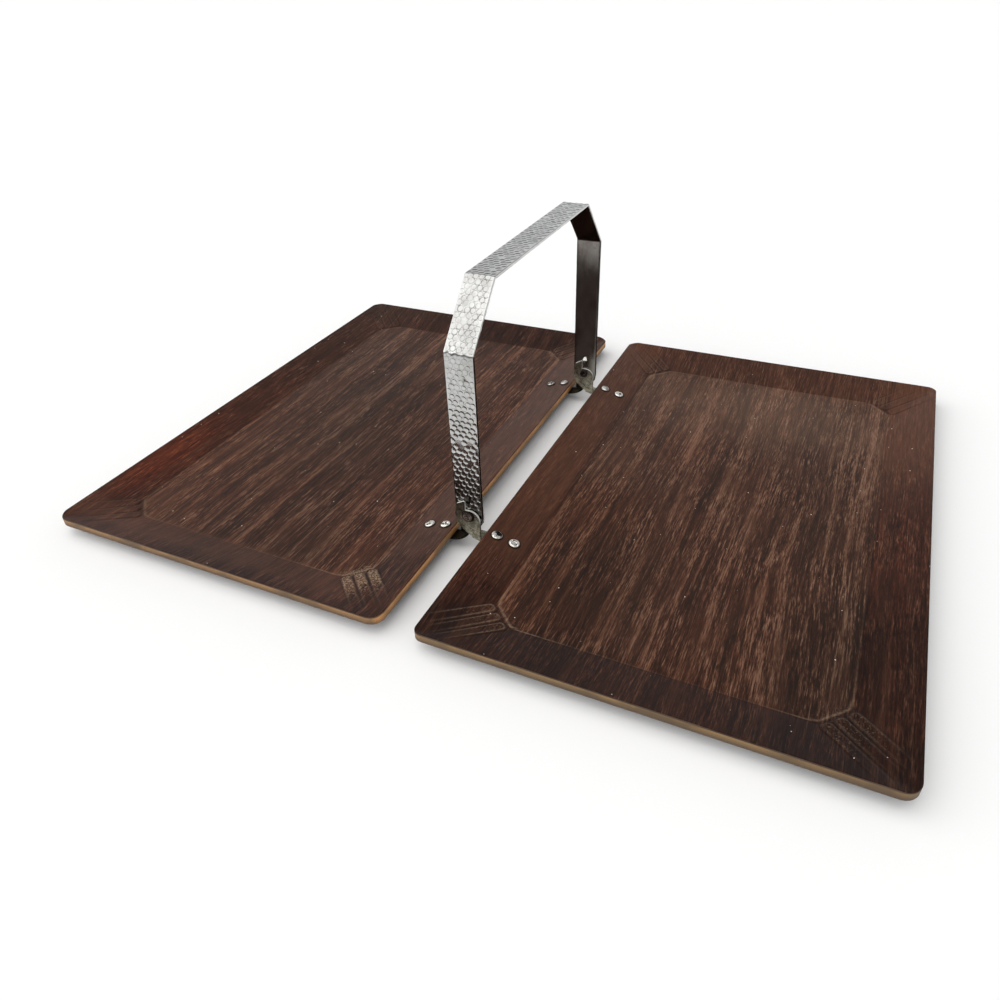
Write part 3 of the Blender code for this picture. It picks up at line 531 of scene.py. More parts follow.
def tray_panel(side, seed):
    r = EDGE_ROUND
    xs = grid_lines(TRAY_W, 38.5, [])
    ys = grid_lines(TRAY_L, 38.5, [(76.5, 86.5), (255.5, 265.5)])
    gx, gy = np.meshgrid(xs, ys, indexing="ij")
    nx, ny = gx.shape
    dx, dy = np.minimum(gx, TRAY_W - gx), np.minimum(gy, TRAY_L - gy)
    cuts = CORNERS[side]
    cut = np.where(gx < TRAY_W / 2, np.where(gy < TRAY_L / 2, cuts[0], cuts[2]), np.where(gy < TRAY_L / 2, cuts[1], cuts[3]))
    corner = (dx < cut) & (dy < cut)
    rr = cut - r
    u, w = np.where(corner, cut - dx, 0.0), np.where(corner, cut - dy, 0.0)
    u2, w2 = u * np.sqrt(1.0 - w * w / (2 * rr * rr)), w * np.sqrt(1.0 - u * u / (2 * rr * rr))
    dx, dy = np.where(corner, cut - u2, dx), np.where(corner, cut - w2, dy)
    x = np.where(gx < TRAY_W / 2, dx, TRAY_W - dx)
    y = np.where(gy < TRAY_L / 2, dy, TRAY_L - dy)

    # upper face
    k = 0.42
    top = smax(-RIM_SLOPE * dx, -RIM_SLOPE * dy, k * 0.5)
    top = smax(top, -CORNER_SLOPE * (dx + dy), k)
    crease_d = -WELL_D - top                                # above 0 inside the well's edge
    top = smax(top, np.full_like(top, -WELL_D), k)
    relief, line, foot, body = flute_relief(dx, dy)
    near_in, at_front = gx < TRAY_W / 2, gy < TRAY_L / 2
    def by_corner(w):
        return np.where(near_in, np.where(at_front, w[0], w[2]), np.where(at_front, w[1], w[3]))
    relief = relief * by_corner(RELIEF[side])
    wear = by_corner(WEAR[side])
    line, body = line * by_corner(LINES[side]), body * wear
    top = top + FLUTE_SIGN * relief
    # pressed in a little round each rivet
    for px, py in RIVET_SPOTS:
        q = np.hypot(x - px, y - py)
        top -= 0.20 * np.exp(-((q - 2.4) / 1.4) ** 2)
    # hand-finished unevenness of the veneer
    wave = value_noise(x, y, 1 / 46.0, seed, 2) * 0.10 + value_noise(x, y, 1 / 9.0, seed + 5, 1) * 0.012
    fade = smooth(0.0, 14.0, np.minimum(dx, dy))
    top = top + wave * fade
    # under face
    kb = 0.8
    low = smax(-RIM_SLOPE * dx, -RIM_SLOPE * dy, kb * 0.5) - PLY * math.sqrt(1 + RIM_SLOPE ** 2)
    low = smax(low, -CORNER_SLOPE * (dx + dy) - PLY * math.sqrt(1 + 2 * CORNER_SLOPE ** 2), kb)
    low = smax(low, np.full_like(low, -WELL_D - PLY), kb)
    low = low + FLUTE_SIGN * relief * 0.55
    low = np.maximum(low, -WELL_D - PLY + 0.002)

    # pale lines along the well's crease and the flutes' edges: lacquer residue and painted highlight
    crease = np.exp(-(crease_d / 0.075) ** 2) * (0.22 + 0.78 * smooth(78.0, 44.0, np.hypot(dx, dy)))
    crease = np.maximum(crease * np.minimum(0.25 + 0.60 * by_corner(LINES[side]) + 0.4 * wear, 1.0), 0.62 * line)
    shade = (0.36 + 0.34 * wear) * foot
    chamfer_d = np.abs((dx + dy) - (2 * RIM_W + CHAMFER)) / math.sqrt(2.0)
    worn = np.maximum(0.90 * body, 0.75 * wear * np.exp(-(np.maximum((dx + dy) - (2 * RIM_W + CHAMFER), 0.0) / 9.0) ** 2)
                      * np.exp(-(np.maximum(chamfer_d - 1.0, 0.0) / 4.0) ** 2)
                      * smooth(24.0, 30.0, np.minimum(dx, dy)) * smooth(62.0, 46.0, np.hypot(dx, dy)))
    well = smooth(-0.25, 0.12, crease_d)
    for px, py in RIVET_SPOTS:
        q = np.hypot(x - px, y - py)
        shade = np.maximum(shade, 0.85 * np.exp(-((q - 3.2) / 0.42) ** 2))

    loop = [(i, 0) for i in range(nx)] + [(nx - 1, j) for j in range(1, ny)] \
        + [(i, ny - 1) for i in range(nx - 2, -1, -1)] + [(0, j) for j in range(ny - 2, 0, -1)]
    li, lj = np.array([a for a, b in loop]), np.array([b for a, b in loop])
    bx, by, bt, bb = x[li, lj], y[li, lj], top[li, lj], low[li, lj]
    onx = np.where(li == 0, -1.0, np.where(li == nx - 1, 1.0, 0.0))
    ony = np.where(lj == 0, -1.0, np.where(lj == ny - 1, 1.0, 0.0))
    cx = np.where(gx[li, lj] < TRAY_W / 2, -u2[li, lj], u2[li, lj])
    cy = np.where(gy[li, lj] < TRAY_L / 2, -w2[li, lj], w2[li, lj])
    incorner = corner[li, lj]
    nxv, nyv = np.where(incorner, cx, onx), np.where(incorner, cy, ony)
    ln = np.hypot(nxv, nyv)
    nxv, nyv = nxv / ln, nyv / ln

    rings = []
    for a in (30, 60, 90):
        rings.append((r * (1 - math.sin(math.radians(a))), bt - r * (1 - math.cos(math.radians(a)))))
    for f in (0.2, 0.4, 0.6, 0.8):
        rings.append((0.0, (bt - r) + f * ((bb + r) - (bt - r))))
    for a in (90, 60, 30):
        rings.append((r * (1 - math.sin(math.radians(a))), bb + r * (1 - math.cos(math.radians(a)))))

    n_top = nx * ny
    verts = [np.stack([x, y, top], -1).reshape(-1, 3)]
    ply = [np.zeros(n_top)]
    for inset, z in rings:
        verts.append(np.stack([bx + nxv * (r - inset), by + nyv * (r - inset), z], -1))
        ply.append((bt - z) / (bt - bb))
    verts.append(np.stack([x, y, low], -1).reshape(-1, 3))
    ply.append(np.ones(n_top))
    verts, ply = np.concatenate(verts), np.concatenate(ply)

    ii, jj = np.meshgrid(np.arange(nx - 1), np.arange(ny - 1), indexing="ij")
    a = (ii * ny + jj).ravel()
    quad_top = np.stack([a, a + ny, a + ny + 1, a + 1], -1)
    count = len(loop)
    base_low = n_top + count * len(rings)
    quad_low = quad_top[:, ::-1] + base_low
    start = [li * ny + lj] + [n_top + count * q + np.arange(count) for q in range(len(rings))] \
        + [base_low + li * ny + lj]
    sides, side_mat = [], []
    for q, (p0, p1) in enumerate(zip(start, start[1:])):
        sides.append(np.stack([p0, p1, np.roll(p1, -1), np.roll(p0, -1)], -1))
        side_mat.append(np.full(count, 0 if q == 0 else 1))
    faces = np.concatenate([quad_top] + sides + [quad_low])
    mats = np.concatenate([np.zeros(len(quad_top), int)] + side_mat + [np.zeros(len(quad_low), int)])
    total = len(verts)

    def spread(field, under=0.0):
        out = np.full(total, 0.0)
        out[:n_top] = field.ravel()
        out[base_low:] = under
        return out

    # to the frame: the left panel is the right one turned half a turn
    wx, wy = verts[:, 0] + HALF_GAP, verts[:, 1] - TRAY_L / 2
    if side == "left":
        wx, wy = -wx, -wy
    pale, painted_shade, ruddy = sheen_and_shade(side, np.abs(wx), wy)
    verts = np.stack([wx, wy, verts[:, 2] + RIM_Z], -1)
    ob = mesh_piece(side + "_tray_veneered", verts, faces, [VENEER[side], EDGE[side]], mats, 42.0,
                    {"ply": ply, "crease": spread(crease), "shade": spread(shade), "worn": spread(worn), "well": spread(well),
                     "face_up": spread(np.ones_like(dx)), "pale": pale, "painted_shade": painted_shade, "ruddy": ruddy})
    return give(ob, side + "_tray", "walnut_ply", side + "_tray_panel")


tray_panel("right", 1)
tray_panel("left", 2)


# ---- handle ----------------------------------------------------------------
def strip_path():
    """The outer face's line in YZ, with its normals, evenly spaced."""
    foot = PIVOT_Z
    pts = [(-LEG_Y, foot), (-LEG_Y, RIM_Z + BEND_Z), (-GRIP_HALF, RIM_Z + TOP_Z), (GRIP_HALF, RIM_Z + TOP_Z),
           (LEG_Y, RIM_Z + BEND_Z), (LEG_Y, foot)]
    dense = []
    for i, p in enumerate(pts):
        p = np.array(p)
        if i in (0, len(pts) - 1):
            dense.append(p)
            continue
        a, b = np.array(pts[i - 1]) - p, np.array(pts[i + 1]) - p
        a, b = a / np.linalg.norm(a), b / np.linalg.norm(b)
        half = math.acos(np.clip(a @ b, -1, 1)) / 2
        cut = BEND_R / math.tan(half)
        c = p + (a + b) / np.linalg.norm(a + b) * (BEND_R / math.sin(half))
        s, e = p + a * cut - c, p + b * cut - c
        ang = math.atan2(s[0] * e[1] - s[1] * e[0], s @ e)
        for k in range(17):
            q = ang * k / 16
            dense.append(c + np.array([s[0] * math.cos(q) - s[1] * math.sin(q), s[0] * math.sin(q) + s[1] * math.cos(q)]))
    dense = np.array(dense)
    seg = np.linalg.norm(np.diff(dense, axis=0), axis=1)
    run = np.concatenate([[0.0], np.cumsum(seg)])
    n = int(round(run[-1] / 0.335))
    s = np.linspace(0.0, run[-1], n + 1)
    y, z = np.interp(s, run, dense[:, 0]), np.interp(s, run, dense[:, 1])
    ty, tz = np.gradient(y, s), np.gradient(z, s)
    ln = np.hypot(ty, tz)
    ty, tz = ty / ln, tz / ln
    return s, y, z, -tz, ty                                 # outward normal


def dimple_field(s, x, length):
    """Depth of the hammer marks at (s, x), mm, and how near a point is to a mark's lip, where painted shade goes."""
    rng = random.Random(11)
    pitch_s, pitch_x = 2.78, 3.2
    rows = int(length / pitch_s) + 14
    depth, lip = np.zeros(np.shape(s)), np.zeros(np.shape(s))
    for row in range(-4, rows):
        odd = row % 2
        for col in range(5 if not odd else 4):
            cx = (col - 2) * pitch_x if not odd else (col - 1.5) * pitch_x
            cx += rng.uniform(-0.30, 0.30)
            cs = row * pitch_s + rng.uniform(-0.32, 0.32)
            a = rng.uniform(1.42, 1.70)
            d = rng.uniform(0.20, 0.29)
            if rng.random() < 0.04:
                continue
            lo, hi = np.searchsorted(s[:, 0], [cs - a, cs + a])
            if hi <= lo:
                continue
            q = ((s[lo:hi] - cs) ** 2 + (x[lo:hi] - cx) ** 2) / (a * a)
            mark = d * (1.0 - q ** 1.7)
            won = mark > depth[lo:hi]
            lip[lo:hi] = np.where(won, np.exp(-((np.sqrt(q) - 0.92) / 0.13) ** 2), lip[lo:hi])
            depth[lo:hi] = np.maximum(depth[lo:hi], mark)
    return depth, lip


def handle():
    s, y, z, ny_, nz_ = strip_path()
    length = s[-1]
    half, er = STRIP_W / 2, 0.38
    # the round feet go on below the pivot axis; the angle from the strip's side to its tip
    foot_r = 8.06
    ang = np.radians(np.concatenate([np.arange(2.5, 80, 2.5), [82.0, 84.5, 86.5]]))
    foot_z = PIVOT_Z - foot_r * np.sin(ang)
    foot_w = foot_r * np.cos(ang)
    n_foot = len(ang)
    s_all = np.concatenate([-(PIVOT_Z - foot_z[::-1]), s, length + (PIVOT_Z - foot_z)])
    y_all = np.concatenate([np.full(n_foot, -LEG_Y), y, np.full(n_foot, LEG_Y)])
    z_all = np.concatenate([foot_z[::-1], z, foot_z])
    ny_all = np.concatenate([np.full(n_foot, -1.0), ny_, np.full(n_foot, 1.0)])
    nz_all = np.concatenate([np.zeros(n_foot), nz_, np.zeros(n_foot)])
    w_all = np.concatenate([foot_w[::-1], np.full(len(s), half), foot_w])
    w_all = np.minimum(w_all, half)
    rings = len(s_all)
    # the section, from the outer face's left margin round to the inner face
    out_u = np.linspace(-1.0, 1.0, 55)
    section = []                                            # (share of half width, fixed part of x, depth)
    for q in out_u:
        section.append((q, 0.0, 0.0, 1))
    for a in (35, 65, 90):
        section.append((1.0, er * math.sin(math.radians(a)), er * (1 - math.cos(math.radians(a))), 0))
    for a in (90, 65, 35, 0):
        section.append((1.0, er * math.sin(math.radians(a)), STRIP_T - er * (1 - math.cos(math.radians(a))), 0))
    for q in np.linspace(1.0, -1.0, 9)[1:-1]:
        section.append((q, 0.0, STRIP_T, 2))
    for a in (0, 35, 65, 90):
        section.append((-1.0, -er * math.sin(math.radians(a)), STRIP_T - er * (1 - math.cos(math.radians(a))), 0))
    for a in (90, 65, 35):
        section.append((-1.0, -er * math.sin(math.radians(a)), er * (1 - math.cos(math.radians(a))), 0))
    m = len(section)
    share = np.array([q[0] for q in section])
    fixed = np.array([q[1] for q in section])
    inset = np.array([q[2] for q in section])
    kind = np.array([q[3] for q in section])
    core = np.maximum(w_all - er, 0.05)
    # the hammering spreads the edges a little, never past the stock's width
    ripple_l = np.array([noise.noise(Vector((q * 0.33, 3.0, 0.0))) for q in s_all]) * 0.10
    ripple_r = np.array([noise.noise(Vector((q * 0.33, 9.0, 4.0))) for q in s_all]) * 0.10
    side = np.where(share[None, :] > 0, (ripple_r - 0.10)[:, None], -(ripple_l - 0.10)[:, None]) * (np.abs(share)[None, :] ** 3)
    X = share[None, :] * core[:, None] + fixed[None, :] + side
    S = np.repeat(s_all[:, None], m, 1)
    mark, lip = dimple_field(S, X, length)
    margin = smooth(0.0, 0.7, (w_all[:, None] - np.abs(X)) - 0.35)
    on_leg = smooth(0.90, 0.99, np.abs(ny_all))
    worn_top = (1.0 - 0.28 * smooth(0.90, 0.99, nz_all) - 0.26 * on_leg * smooth(62.0, 88.0, z_all))[:, None]
    depth = np.where(kind[None, :] == 1, mark * margin * worn_top, 0.0)
    D = inset[None, :] + depth + 0.004
    Y = y_all[:, None] - ny_all[:, None] * D
    Z = z_all[:, None] - nz_all[:, None] * D
    verts = np.stack([X, Y, Z], -1).reshape(-1, 3)
    i, j = np.meshgrid(np.arange(rings - 1), np.arange(m), indexing="ij")
    i, j = i.ravel(), j.ravel()
    k = (j + 1) % m
    faces = np.stack([i * m + j, i * m + k, (i + 1) * m + k, (i + 1) * m + j], -1).tolist()
    mats = np.where((kind[j] == 2) | (kind[k] == 2), 1, 0).tolist()
    faces.append(list(range(m))[::-1])
    faces.append([(rings - 1) * m + q for q in range(m)])
    mats += [0, 0]
    # a dark cracked line across the lower bends, and a few pits
    lower = [np.argmin(np.abs(z_all[:rings // 2] - (RIM_Z + BEND_Z - 0.6))),
             rings // 2 + np.argmin(np.abs(z_all[rings // 2:] - (RIM_Z + BEND_Z - 0.6)))]
    scar = np.zeros((rings, m))
    for n, at in enumerate(lower):
        wig = np.array([noise.noise(Vector((q * 0.42, 5.0 + 9 * n, 2.0))) for q in X[at]]) * 0.9
        wide = 0.55 + 0.45 * np.array([noise.noise(Vector((q * 0.5, 1.0, 7.0 + n))) for q in X[at]])
        scar = np.maximum(scar, np.exp(-((S - s_all[at] - wig[None, :]) / np.maximum(wide, 0.25)[None, :]) ** 2)
                          * (0.95 if n == 0 else 0.55))
    for ps, px, pr in ((s_all[lower[0]] - 12.4, 2.6, 0.8), (60.0, -4.0, 0.35), (length - 70.0, 3.0, 0.4), (length / 2 + 20, -2.0, 0.35)):
        scar = np.maximum(scar, np.exp(-(((S - ps) ** 2 + (X - px) ** 2) / (pr * pr))))
    scar = scar * (kind[None, :] == 1)
    # painted shade: the inner face and side faces darkened on the slants and on the lower legs
    slant = smooth(0.25, 0.5, np.abs(ny_all)) * smooth(0.25, 0.5, np.abs(nz_all))
    under = np.maximum(0.92 * slant, 0.42 * on_leg * smooth(101.0, 84.0, z_all))
    underside_shade = np.repeat(under[:, None], m, 1) * (kind[None, :] != 1)
    low = (on_leg * smooth(65.0, 33.0, z_all))[:, None]
    # rubbed bare beside the rear key, where the bracket's tab has swept
    rubbed = on_leg[:, None] * (y_all > 0)[:, None] * smooth(39.0, 27.0, Z) * smooth(0.6, 6.4, X) * (kind[None, :] != 1)
    underside_shade = underside_shade * (1.0 - rubbed)
    # painted shade: the hammered face darkened low on the legs as a dark reflection, except on the marks' lower slopes,
    # which look up; the legs' side faces are darkened too
    rise = np.gradient(depth, axis=0) / np.maximum(np.gradient(s_all), 1e-6)[:, None] * -np.sign(y_all)[:, None]
    looks_up = smooth(0.03, 0.20, rise)
    leg_shade = np.where(kind[None, :] == 1, 0.86 * low * (1.0 - 0.95 * looks_up), np.where(kind[None, :] == 0, on_leg[:, None], 0.0))
    # the painted shade at the marks' lips shows most where the strip catches the light
    lip = np.clip(lip * (1.0 + 0.55 * slant + 0.45 * on_leg * smooth(62.0, 88.0, z_all))[:, None], 0.0, 1.3)
    ob = mesh_piece("handle_hammered", verts, faces, [PLATED, PLATED_IN], mats, 60.0,
                    {"pit": (np.clip(depth / 0.22, 0, 1)).ravel(), "lip": (lip * margin * worn_top * (1.0 - 0.85 * on_leg * smooth(78.0, 52.0, z_all))[:, None]
                             * (kind[None, :] == 1)).ravel(), "leg_shade": leg_shade.ravel(),
                     "scar": scar.ravel(), "underside_shade": underside_shade.ravel(), "rubbed": rubbed.ravel()})
    return give(ob, "handle", "plated_strip", "handle_strip")


handle()


# ---- turned pieces with worked ends ----------------------------------------
def turned_mesh(profile, steps, worked=None):
    """Points and faces of a turned piece, profile (radius, height) from the
    top's centre to the bottom's centre; worked(x, y, r, z) moves points up."""
    verts, faces = [(0.0, 0.0, profile[0][1])], []
    body = profile[1:-1]
    for r, z in body:
        for k in range(steps):
            a = 2 * math.pi * k / steps
            verts.append((r * math.cos(a), r * math.sin(a), z))
    verts.append((0.0, 0.0, profile[-1][1]))
    for k in range(steps):
        faces.append((0, 1 + k, 1 + (k + 1) % steps))
    for n in range(len(body) - 1):
        a, b = 1 + n * steps, 1 + (n + 1) * steps
        for k in range(steps):
            q = (k + 1) % steps
            faces.append((a + k, b + k, b + q, a + q))
    last = 1 + (len(body) - 1) * steps
    end = len(verts) - 1
    for k in range(steps):
        faces.append((end, last + (k + 1) % steps, last + k))
    verts = np.array(verts, float)
    if worked is not None:
        verts[:, 2] += worked(verts[:, 0], verts[:, 1], np.hypot(verts[:, 0], verts[:, 1]), verts[:, 2])
    return verts, faces


def placed(verts, matrix):
    m = np.array(matrix)
    return verts @ m[:3, :3].T + m[:3, 3]


LOW = -(PLY + CLEAR + PLATE_T)
HEAD_R = 2.95


def rivet_profile():
    head = [(0.0, 1.02)]
    for q in np.linspace(0.06, 0.81, 16):
        head.append((HEAD_R * q, 1.02 + 0.16 * q - 0.16 * q * q))
    for a in np.linspace(8, 90, 7):
        head.append((HEAD_R - 0.55 + 0.55 * math.sin(math.radians(a)), 0.42 + 0.55 * math.cos(math.radians(a))))
    head += [(HEAD_R, 0.10), (HEAD_R - 0.18, -0.10), (1.5, -0.10), (1.5, LOW + 1.05)]
    head += [(2.35, LOW + 0.20), (2.5, LOW + 0.10), (2.42, LOW + 0.03), (1.6, LOW + 0.02), (0.8, LOW + 0.02), (0.0, LOW + 0.02)]
    return head


def rivet_head(seed, turn, bow, split, dot):
    """A split rivet's two legs, curled over and hammered flat on the veneer."""
    c, s = math.cos(turn), math.sin(turn)

    def worked(x, y, r, z):
        u, v = x * c + y * s, -x * s + y * c
        d = v - bow * np.sin(u / HEAD_R * 2.2)
        rim = smooth(HEAD_R, HEAD_R - 0.9, r)
        on = (z > 0.3)
        groove = -0.62 * np.exp(-(d / 0.34) ** 2) * smooth(HEAD_R + 0.3, HEAD_R - 1.2, r) * split
        curl = 0.16 * np.sin(np.abs(d) / HEAD_R * math.pi) * rim - 0.10 * smooth(1.2, 0.0, r)
        dents = value_noise(x, y, 0.62, seed, 2) * 0.20 * rim
        hole = -0.75 * np.exp(-(((u - 0.9) ** 2 + (v - 0.5) ** 2) / 0.20)) * dot
        return np.where(on, np.clip(groove + curl + dents + hole, -0.75, 0.2), 0.0)
    return worked


RIVET_WORK = {  # turn, bow, split, dot: the eight heads all differ
    "right_front_rivet_1": (0.9, 1.1, 0.9, 0.0), "right_front_rivet_2": (2.3, 0.7, 0.3, 0.0),
    "right_rear_rivet_1": (0.4, 0.8, 0.7, 0.0), "right_rear_rivet_2": (1.7, 0.3, 0.1, 1.0),
    "left_front_rivet_1": (2.6, 1.0, 1.0, 0.0), "left_front_rivet_2": (1.2, 0.6, 0.8, 0.0),
    "left_rear_rivet_1": (0.1, 0.9, 0.9, 0.0), "left_rear_rivet_2": (2.0, 0.5, 0.7, 0.4)}
# dark marks as (x, y, long half, short half, turned by, how dark)
RIVET_MARKS = {
    "right_front_rivet_1": [(0.9, 1.0, 2.3, 1.15, -0.5, 0.90), (-1.1, 1.1, 0.7, 0.5, 0.6, 0.75), (-0.3, -0.6, 0.5, 0.22, 0.2, 0.5)],
    "right_front_rivet_2": [(-0.9, 1.0, 0.55, 0.28, 0.7, 0.85), (0.3, 0.2, 0.6, 0.2, -0.6, 0.55), (1.3, -0.4, 0.45, 0.28, 0.4, 0.85)],
    "right_rear_rivet_1": [(1.4, -0.6, 1.3, 0.8, -0.7, 0.55), (-0.2, 1.5, 1.1, 0.35, 0.2, 0.50)],
    "right_rear_rivet_2": [(0.75, -0.2, 0.62, 0.62, 0.0, 0.97)],
    "left_front_rivet_1": [(1.4, 0.6, 0.85, 0.75, 0.5, 0.95), (-1.5, 0.7, 0.9, 0.4, 1.2, 0.9), (0.0, -0.2, 0.9, 0.3, 0.9, 0.8)],
    "left_front_rivet_2": [(1.5, -0.9, 1.4, 0.45, 1.0, 0.9), (-0.4, 1.5, 1.3, 0.35, 0.3, 0.85), (-0.3, -0.1, 0.9, 0.16, 0.6, 0.7)],
    "left_rear_rivet_1": [(-1.2, -0.4, 1.2, 0.6, 0.9, 0.65), (1.3, 0.3, 1.0, 0.5, 0.9, 0.65)],
    "left_rear_rivet_2": [(0.0, 0.1, 2.4, 0.42, 0.5, 0.85), (1.2, 1.3, 1.0, 0.6, 0.0, 0.75), (-1.3, -1.2, 1.0, 0.6, 0.0, 0.75)]}
RIVET_SIZE = {"left_rear_rivet_1": 0.88, "left_rear_rivet_2": 0.92, "right_rear_rivet_1": 0.92, "left_front_rivet_1": 0.94,
              "left_front_rivet_2": 0.96}
RIVET_DULL = {"left_rear_rivet_1": 0.42, "left_rear_rivet_2": 0.52, "right_rear_rivet_1": 0.22}
half_turn = Matrix.Rotation(math.pi, 4, "Z")
OUTSIDE, INSIDE = -(LEG_Y + CLEAR + PLATE_T), LEG_Y - STRIP_T - CLEAR - PLATE_T
for n, (key, (turn, bow, split, dot)) in enumerate(RIVET_WORK.items()):
    side, end, _, number = key.split("_")
    x = RIVET_X[int(number) - 1]
    face = OUTSIDE if (side, end) in (("right", "front"), ("left", "rear")) else INSIDE
    spot = Matrix.Translation((x, face + RIVET_IN, RIM_Z - (x - HALF_GAP) * TAN)) @ Matrix.Rotation(SLOPE, 4, "Y")
    if side == "left":
        spot = half_turn @ spot
    verts, faces = turned_mesh(rivet_profile(), 96, rivet_head(n + 1, turn, bow, split, dot))
    verts[:, :2] *= RIVET_SIZE.get(key, 1.0)
    vr = np.hypot(verts[:, 0], verts[:, 1])
    # painted shade under the head and round its lower rim; the marks below are dark dirt
    low = smooth(0.62, 0.25, verts[:, 2])
    dirt_and_shade = np.where(vr < HEAD_R - 0.5, 0.85 * low, 0.9 * smooth(0.45, 0.15, verts[:, 2]))
    for mx, my, la, sa, rot, dark in RIVET_MARKS[key]:
        du, dv = verts[:, 0] - mx, verts[:, 1] - my
        eu, ev = (du * math.cos(rot) + dv * math.sin(rot)) / (la * 1.15 + 0.1), (-du * math.sin(rot) + dv * math.cos(rot)) / (sa * 1.25 + 0.14)
        q = np.hypot(eu, ev) + value_noise(verts[:, 0], verts[:, 1], 1.1, 50 + n, 2) * 0.35
        dirt_and_shade = np.maximum(dirt_and_shade, min(dark * 1.12, 0.99) * smooth(1.10, 0.85, q) * (vr < HEAD_R - 0.25))
    dirt_and_shade = np.maximum(dirt_and_shade, RIVET_DULL.get(key, 0.0))
    ob = mesh_piece(key + "_clinched", placed(verts, spot), faces, [RIVET], None, 50.0, {"dirt_and_shade": dirt_and_shade})
    give(ob, side + "_tray", "rivet_steel", key)


def pivot_profile():
    go = LEG_Y + CLEAR + PLATE_T + CLEAR - LEG_MID
    gi = LEG_MID - (LEG_Y - STRIP_T - CLEAR - PLATE_T - CLEAR)
    p = [(0.0, go + 0.52)]
    for q in np.linspace(0.15, 2.35, 12):
        p.append((q, go + 0.52 + 0.14 * math.sin(q / 2.35 * math.pi / 2)))
    for a in np.linspace(15, 90, 5):
        p.append((2.8 + 0.5 * math.sin(math.radians(a)), go + 0.18 + 0.48 * math.cos(math.radians(a))))
    p += [(3.3, go + 0.1), (3.2, go), (1.8, go), (1.8, -gi), (2.45, -gi)]
    for a in np.linspace(10, 170, 7):
        p.append((2.2 + 0.40 * math.sin(math.radians(a)), -gi - 0.36 + 0.36 * math.cos(math.radians(a))))
    p += [(1.75, -gi - 0.62), (1.45, -gi - 0.42), (1.3, -gi - 0.1), (1.25, -gi + 0.5), (0.9, -gi + 0.72), (0.4, -gi + 0.8),
          (0.0, -gi + 0.8)]
    return p, go


for end, sign in (("front", -1), ("rear", 1)):
    profile, go = pivot_profile()

    def cross(x, y, r, z, go=go, sign=sign):
        u, v = (x + 0.35 * y), (y - 0.35 * x)
        arms = np.exp(-(u / 0.24) ** 2) + np.exp(-(v / 0.24) ** 2)
        return np.where(z > go + 0.3, -0.34 * np.clip(arms, 0, 1) * smooth(2.5, 1.5, r)
                        + value_noise(x, y, 0.8, 31 + sign, 2) * 0.07, 0.0)
    verts, faces = turned_mesh(profile, 64, cross)
    spin = Matrix.Translation((0, sign * LEG_MID, PIVOT_Z)) @ Matrix.Rotation(math.radians(-90 * sign), 4, "X")
    px, py, pz = verts[:, 0], verts[:, 1], verts[:, 2]
    pr = np.hypot(px, py)
    # dirt and painted shade: dark in the cross, a painted shadow round the head's edge, and all under the head darkened
    dip = np.clip(np.exp(-((px + 0.35 * py) / 0.26) ** 2) + np.exp(-((py - 0.35 * px) / 0.26) ** 2), 0, 1)
    dirt_and_shade = np.where(pz > go + 0.3, np.maximum(0.85 * dip * smooth(2.7, 1.7, pr), 0.92 * smooth(2.35, 2.9, pr)), 0.88)
    ob = mesh_piece(end + "_pivot_clinched", placed(verts, spin), faces, [PIVOT], None, 50.0, {"dirt_and_shade": dirt_and_shade})
    give(ob, "handle", "pivot_steel", end + "_pivot_rivet")

# ---- stop keys -------------------------------------------------------------
# A key through each leg: its end seen from the front has a lifted, sloping
# roof, the other end is plain.
KEY_Z, KEY_W, KEY_OUT = (7.15, 12.2), 2.6, 1.9
for end, leg_face, far_face, mat in (("front", -LEG_Y, -LEG_Y + STRIP_T, KEY_DARK), ("rear", LEG_Y - STRIP_T, LEG_Y, KEY)):
    slices = [(KEY_Z[0], 0.80, 0.40, 1.70), (KEY_Z[0] + 0.25, 0.95, 0.55, 1.88), (9.30, 0.95, 0.60, 1.88), (9.62, 1.35, 1.45, 1.88),
              (9.85, 1.58, 1.82, 1.88), (10.15, 1.62, 1.80, 1.88), (10.70, 1.50, 1.52, 1.88), (11.30, 1.22, 1.12, 1.86),
              (11.85, 0.86, 0.70, 1.78), (12.15, 0.48, 0.40, 1.60)]
    verts, shade = [], []
    lean = 0.42 if end == "rear" else 0.0
    for z, w, out, back in slices:
        off = lean if z > 9.5 else 0.0
        verts += [(off - w, leg_face - out, PIVOT_Z + z), (off + w, leg_face - out, PIVOT_Z + z),
                  (min(w, 1.3), far_face + back, PIVOT_Z + z), (-min(w, 1.3), far_face + back, PIVOT_Z + z)]
        # painted shade: the front key darkened all over, most below its roof; a painted shadow under the rear key's
        # roof
        if end == "front":
            shade += [0.88 if z < 9.5 else 0.62] * 4
        else:
            shade += [0.45, 0.97, 0.9, 0.9] if z < 9.5 else [0.0] * 4
    faces = [(3, 2, 1, 0), tuple(4 * (len(slices) - 1) + q for q in range(4))]
    for n in range(len(slices) - 1):
        for q in range(4):
            faces.append((4 * n + q, 4 * n + (q + 1) % 4, 4 * n + 4 + (q + 1) % 4, 4 * n + 4 + q))
    ob = mesh_piece(end + "_stop_key_lifted", verts, faces, [mat], None, 30.0, {"dirt_and_shade": shade})
    bv = ob.modifiers.new("rounded_edges", "BEVEL")
    bv.width, bv.segments, bv.limit_method, bv.angle_limit = 0.00014, 2, "ANGLE", math.radians(30)
    give(ob, "handle", "bracket_steel", end + "_stop_key")

# ---- brackets --------------------------------------------------------------
for key in ("right_front_bracket", "right_rear_bracket", "left_front_bracket", "left_rear_bracket"):
    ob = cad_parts[key]
    ob.data.materials.clear()
    ob.data.materials.append(BRACKET_SHADED if key.startswith("left") else BRACKET)
    bv = ob.modifiers.new("rounded_edges", "BEVEL")
    bv.width = 0.00022
    bv.segments = 2
    bv.limit_method = "ANGLE"
    bv.angle_limit = math.radians(35)

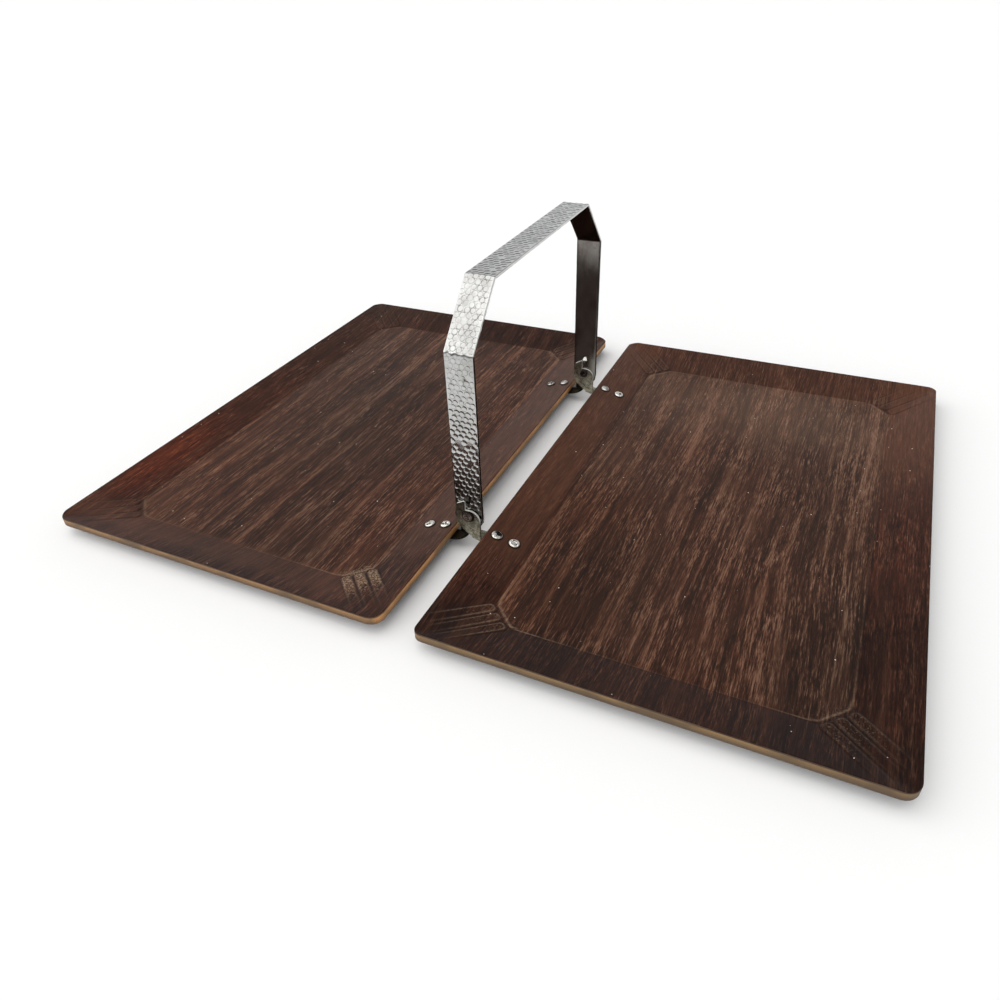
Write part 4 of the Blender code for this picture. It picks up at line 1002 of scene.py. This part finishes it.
# ---- floor, light, camera --------------------------------------------------
bm = bmesh.new()
bmesh.ops.create_circle(bm, cap_ends=True, segments=96, radius=14.0)
me = bpy.data.meshes.new("studio_floor")
bm.to_mesh(me)
bm.free()
floor = bpy.data.objects.new("studio_floor", me)
bpy.context.scene.collection.objects.link(floor)
floor.location = (0.0, 0.0, -0.0002)
fm, ft, fs = new_material("pale_floor")
fs.inputs["Base Color"].default_value = (0.86, 0.86, 0.86, 1.0)
fs.inputs["Roughness"].default_value = 0.9
fs.inputs["Specular IOR Level"].default_value = 0.1
me.materials.append(fm)

world = bpy.data.worlds.new("studio")
bpy.context.scene.world = world
world.use_nodes = True
wt = world.node_tree
bg = wt.nodes["Background"]
direction = node(wt, "ShaderNodeTexCoord").outputs["Generated"]
height = node(wt, "ShaderNodeSeparateXYZ", {"Vector": direction}).outputs["Z"]
sky = ramp(wt, height, [(0.0, (0.84, 0.86, 0.88)), (0.34, (0.84, 0.85, 0.86)), (0.50, (0.42, 0.42, 0.42)),
                        (0.66, (0.20, 0.20, 0.20)), (0.82, (0.18, 0.18, 0.18)), (1.0, (0.24, 0.24, 0.24))])
wt.links.new(sky, bg.inputs["Color"])
bg.inputs["Strength"].default_value = 1.0


def soft_lamp(name, toward, degrees, strength, colour=(1, 1, 1)):
    """A broad, even, distant lamp; toward points from the object to it."""
    la = bpy.data.lights.new(name, "SUN")
    la.angle = math.radians(degrees)
    la.energy = strength
    la.color = colour
    ob = bpy.data.objects.new(name, la)
    bpy.context.scene.collection.objects.link(ob)
    ob.location = Vector(toward) * 2.0
    ob.rotation_mode = "QUATERNION"
    ob.rotation_quaternion = (-Vector(toward)).to_track_quat("-Z", "Y")
    return ob


soft_lamp("key_light", (-0.46, -0.48, 0.75), 108.0, 3.06, (1.0, 0.995, 0.985))
soft_lamp("top_light", (0.35, 0.10, 0.93), 70.0, 0.35)

# Camera: fitted to the trays' corners and the handle's bends.
YAW, PITCH, ROLL, FOCAL = 0.4594, 0.6223, -0.0421, 780.02
AT = (0.16232, -0.38090, 0.26823)
fwd = Vector((-math.sin(YAW) * math.cos(PITCH), math.cos(YAW) * math.cos(PITCH), -math.sin(PITCH)))
flat = Vector((math.cos(YAW), math.sin(YAW), 0.0))
lift = flat.cross(fwd)
right = flat * math.cos(ROLL) + lift * math.sin(ROLL)
up = -flat * math.sin(ROLL) + lift * math.cos(ROLL)
cam = bpy.data.cameras.new("camera")
cam.sensor_width = 36.0
cam.lens = FOCAL / 1000.0 * 36.0
cam.clip_start, cam.clip_end = 0.01, 60.0
cam_ob = bpy.data.objects.new("camera", cam)
bpy.context.scene.collection.objects.link(cam_ob)
cam_ob.matrix_world = Matrix(((right.x, up.x, -fwd.x, AT[0]), (right.y, up.y, -fwd.y, AT[1]),
                              (right.z, up.z, -fwd.z, AT[2]), (0, 0, 0, 1)))
bpy.context.scene.camera = cam_ob
bpy.context.scene.view_settings.view_transform = "Standard"

bpy.context.view_layer.update()
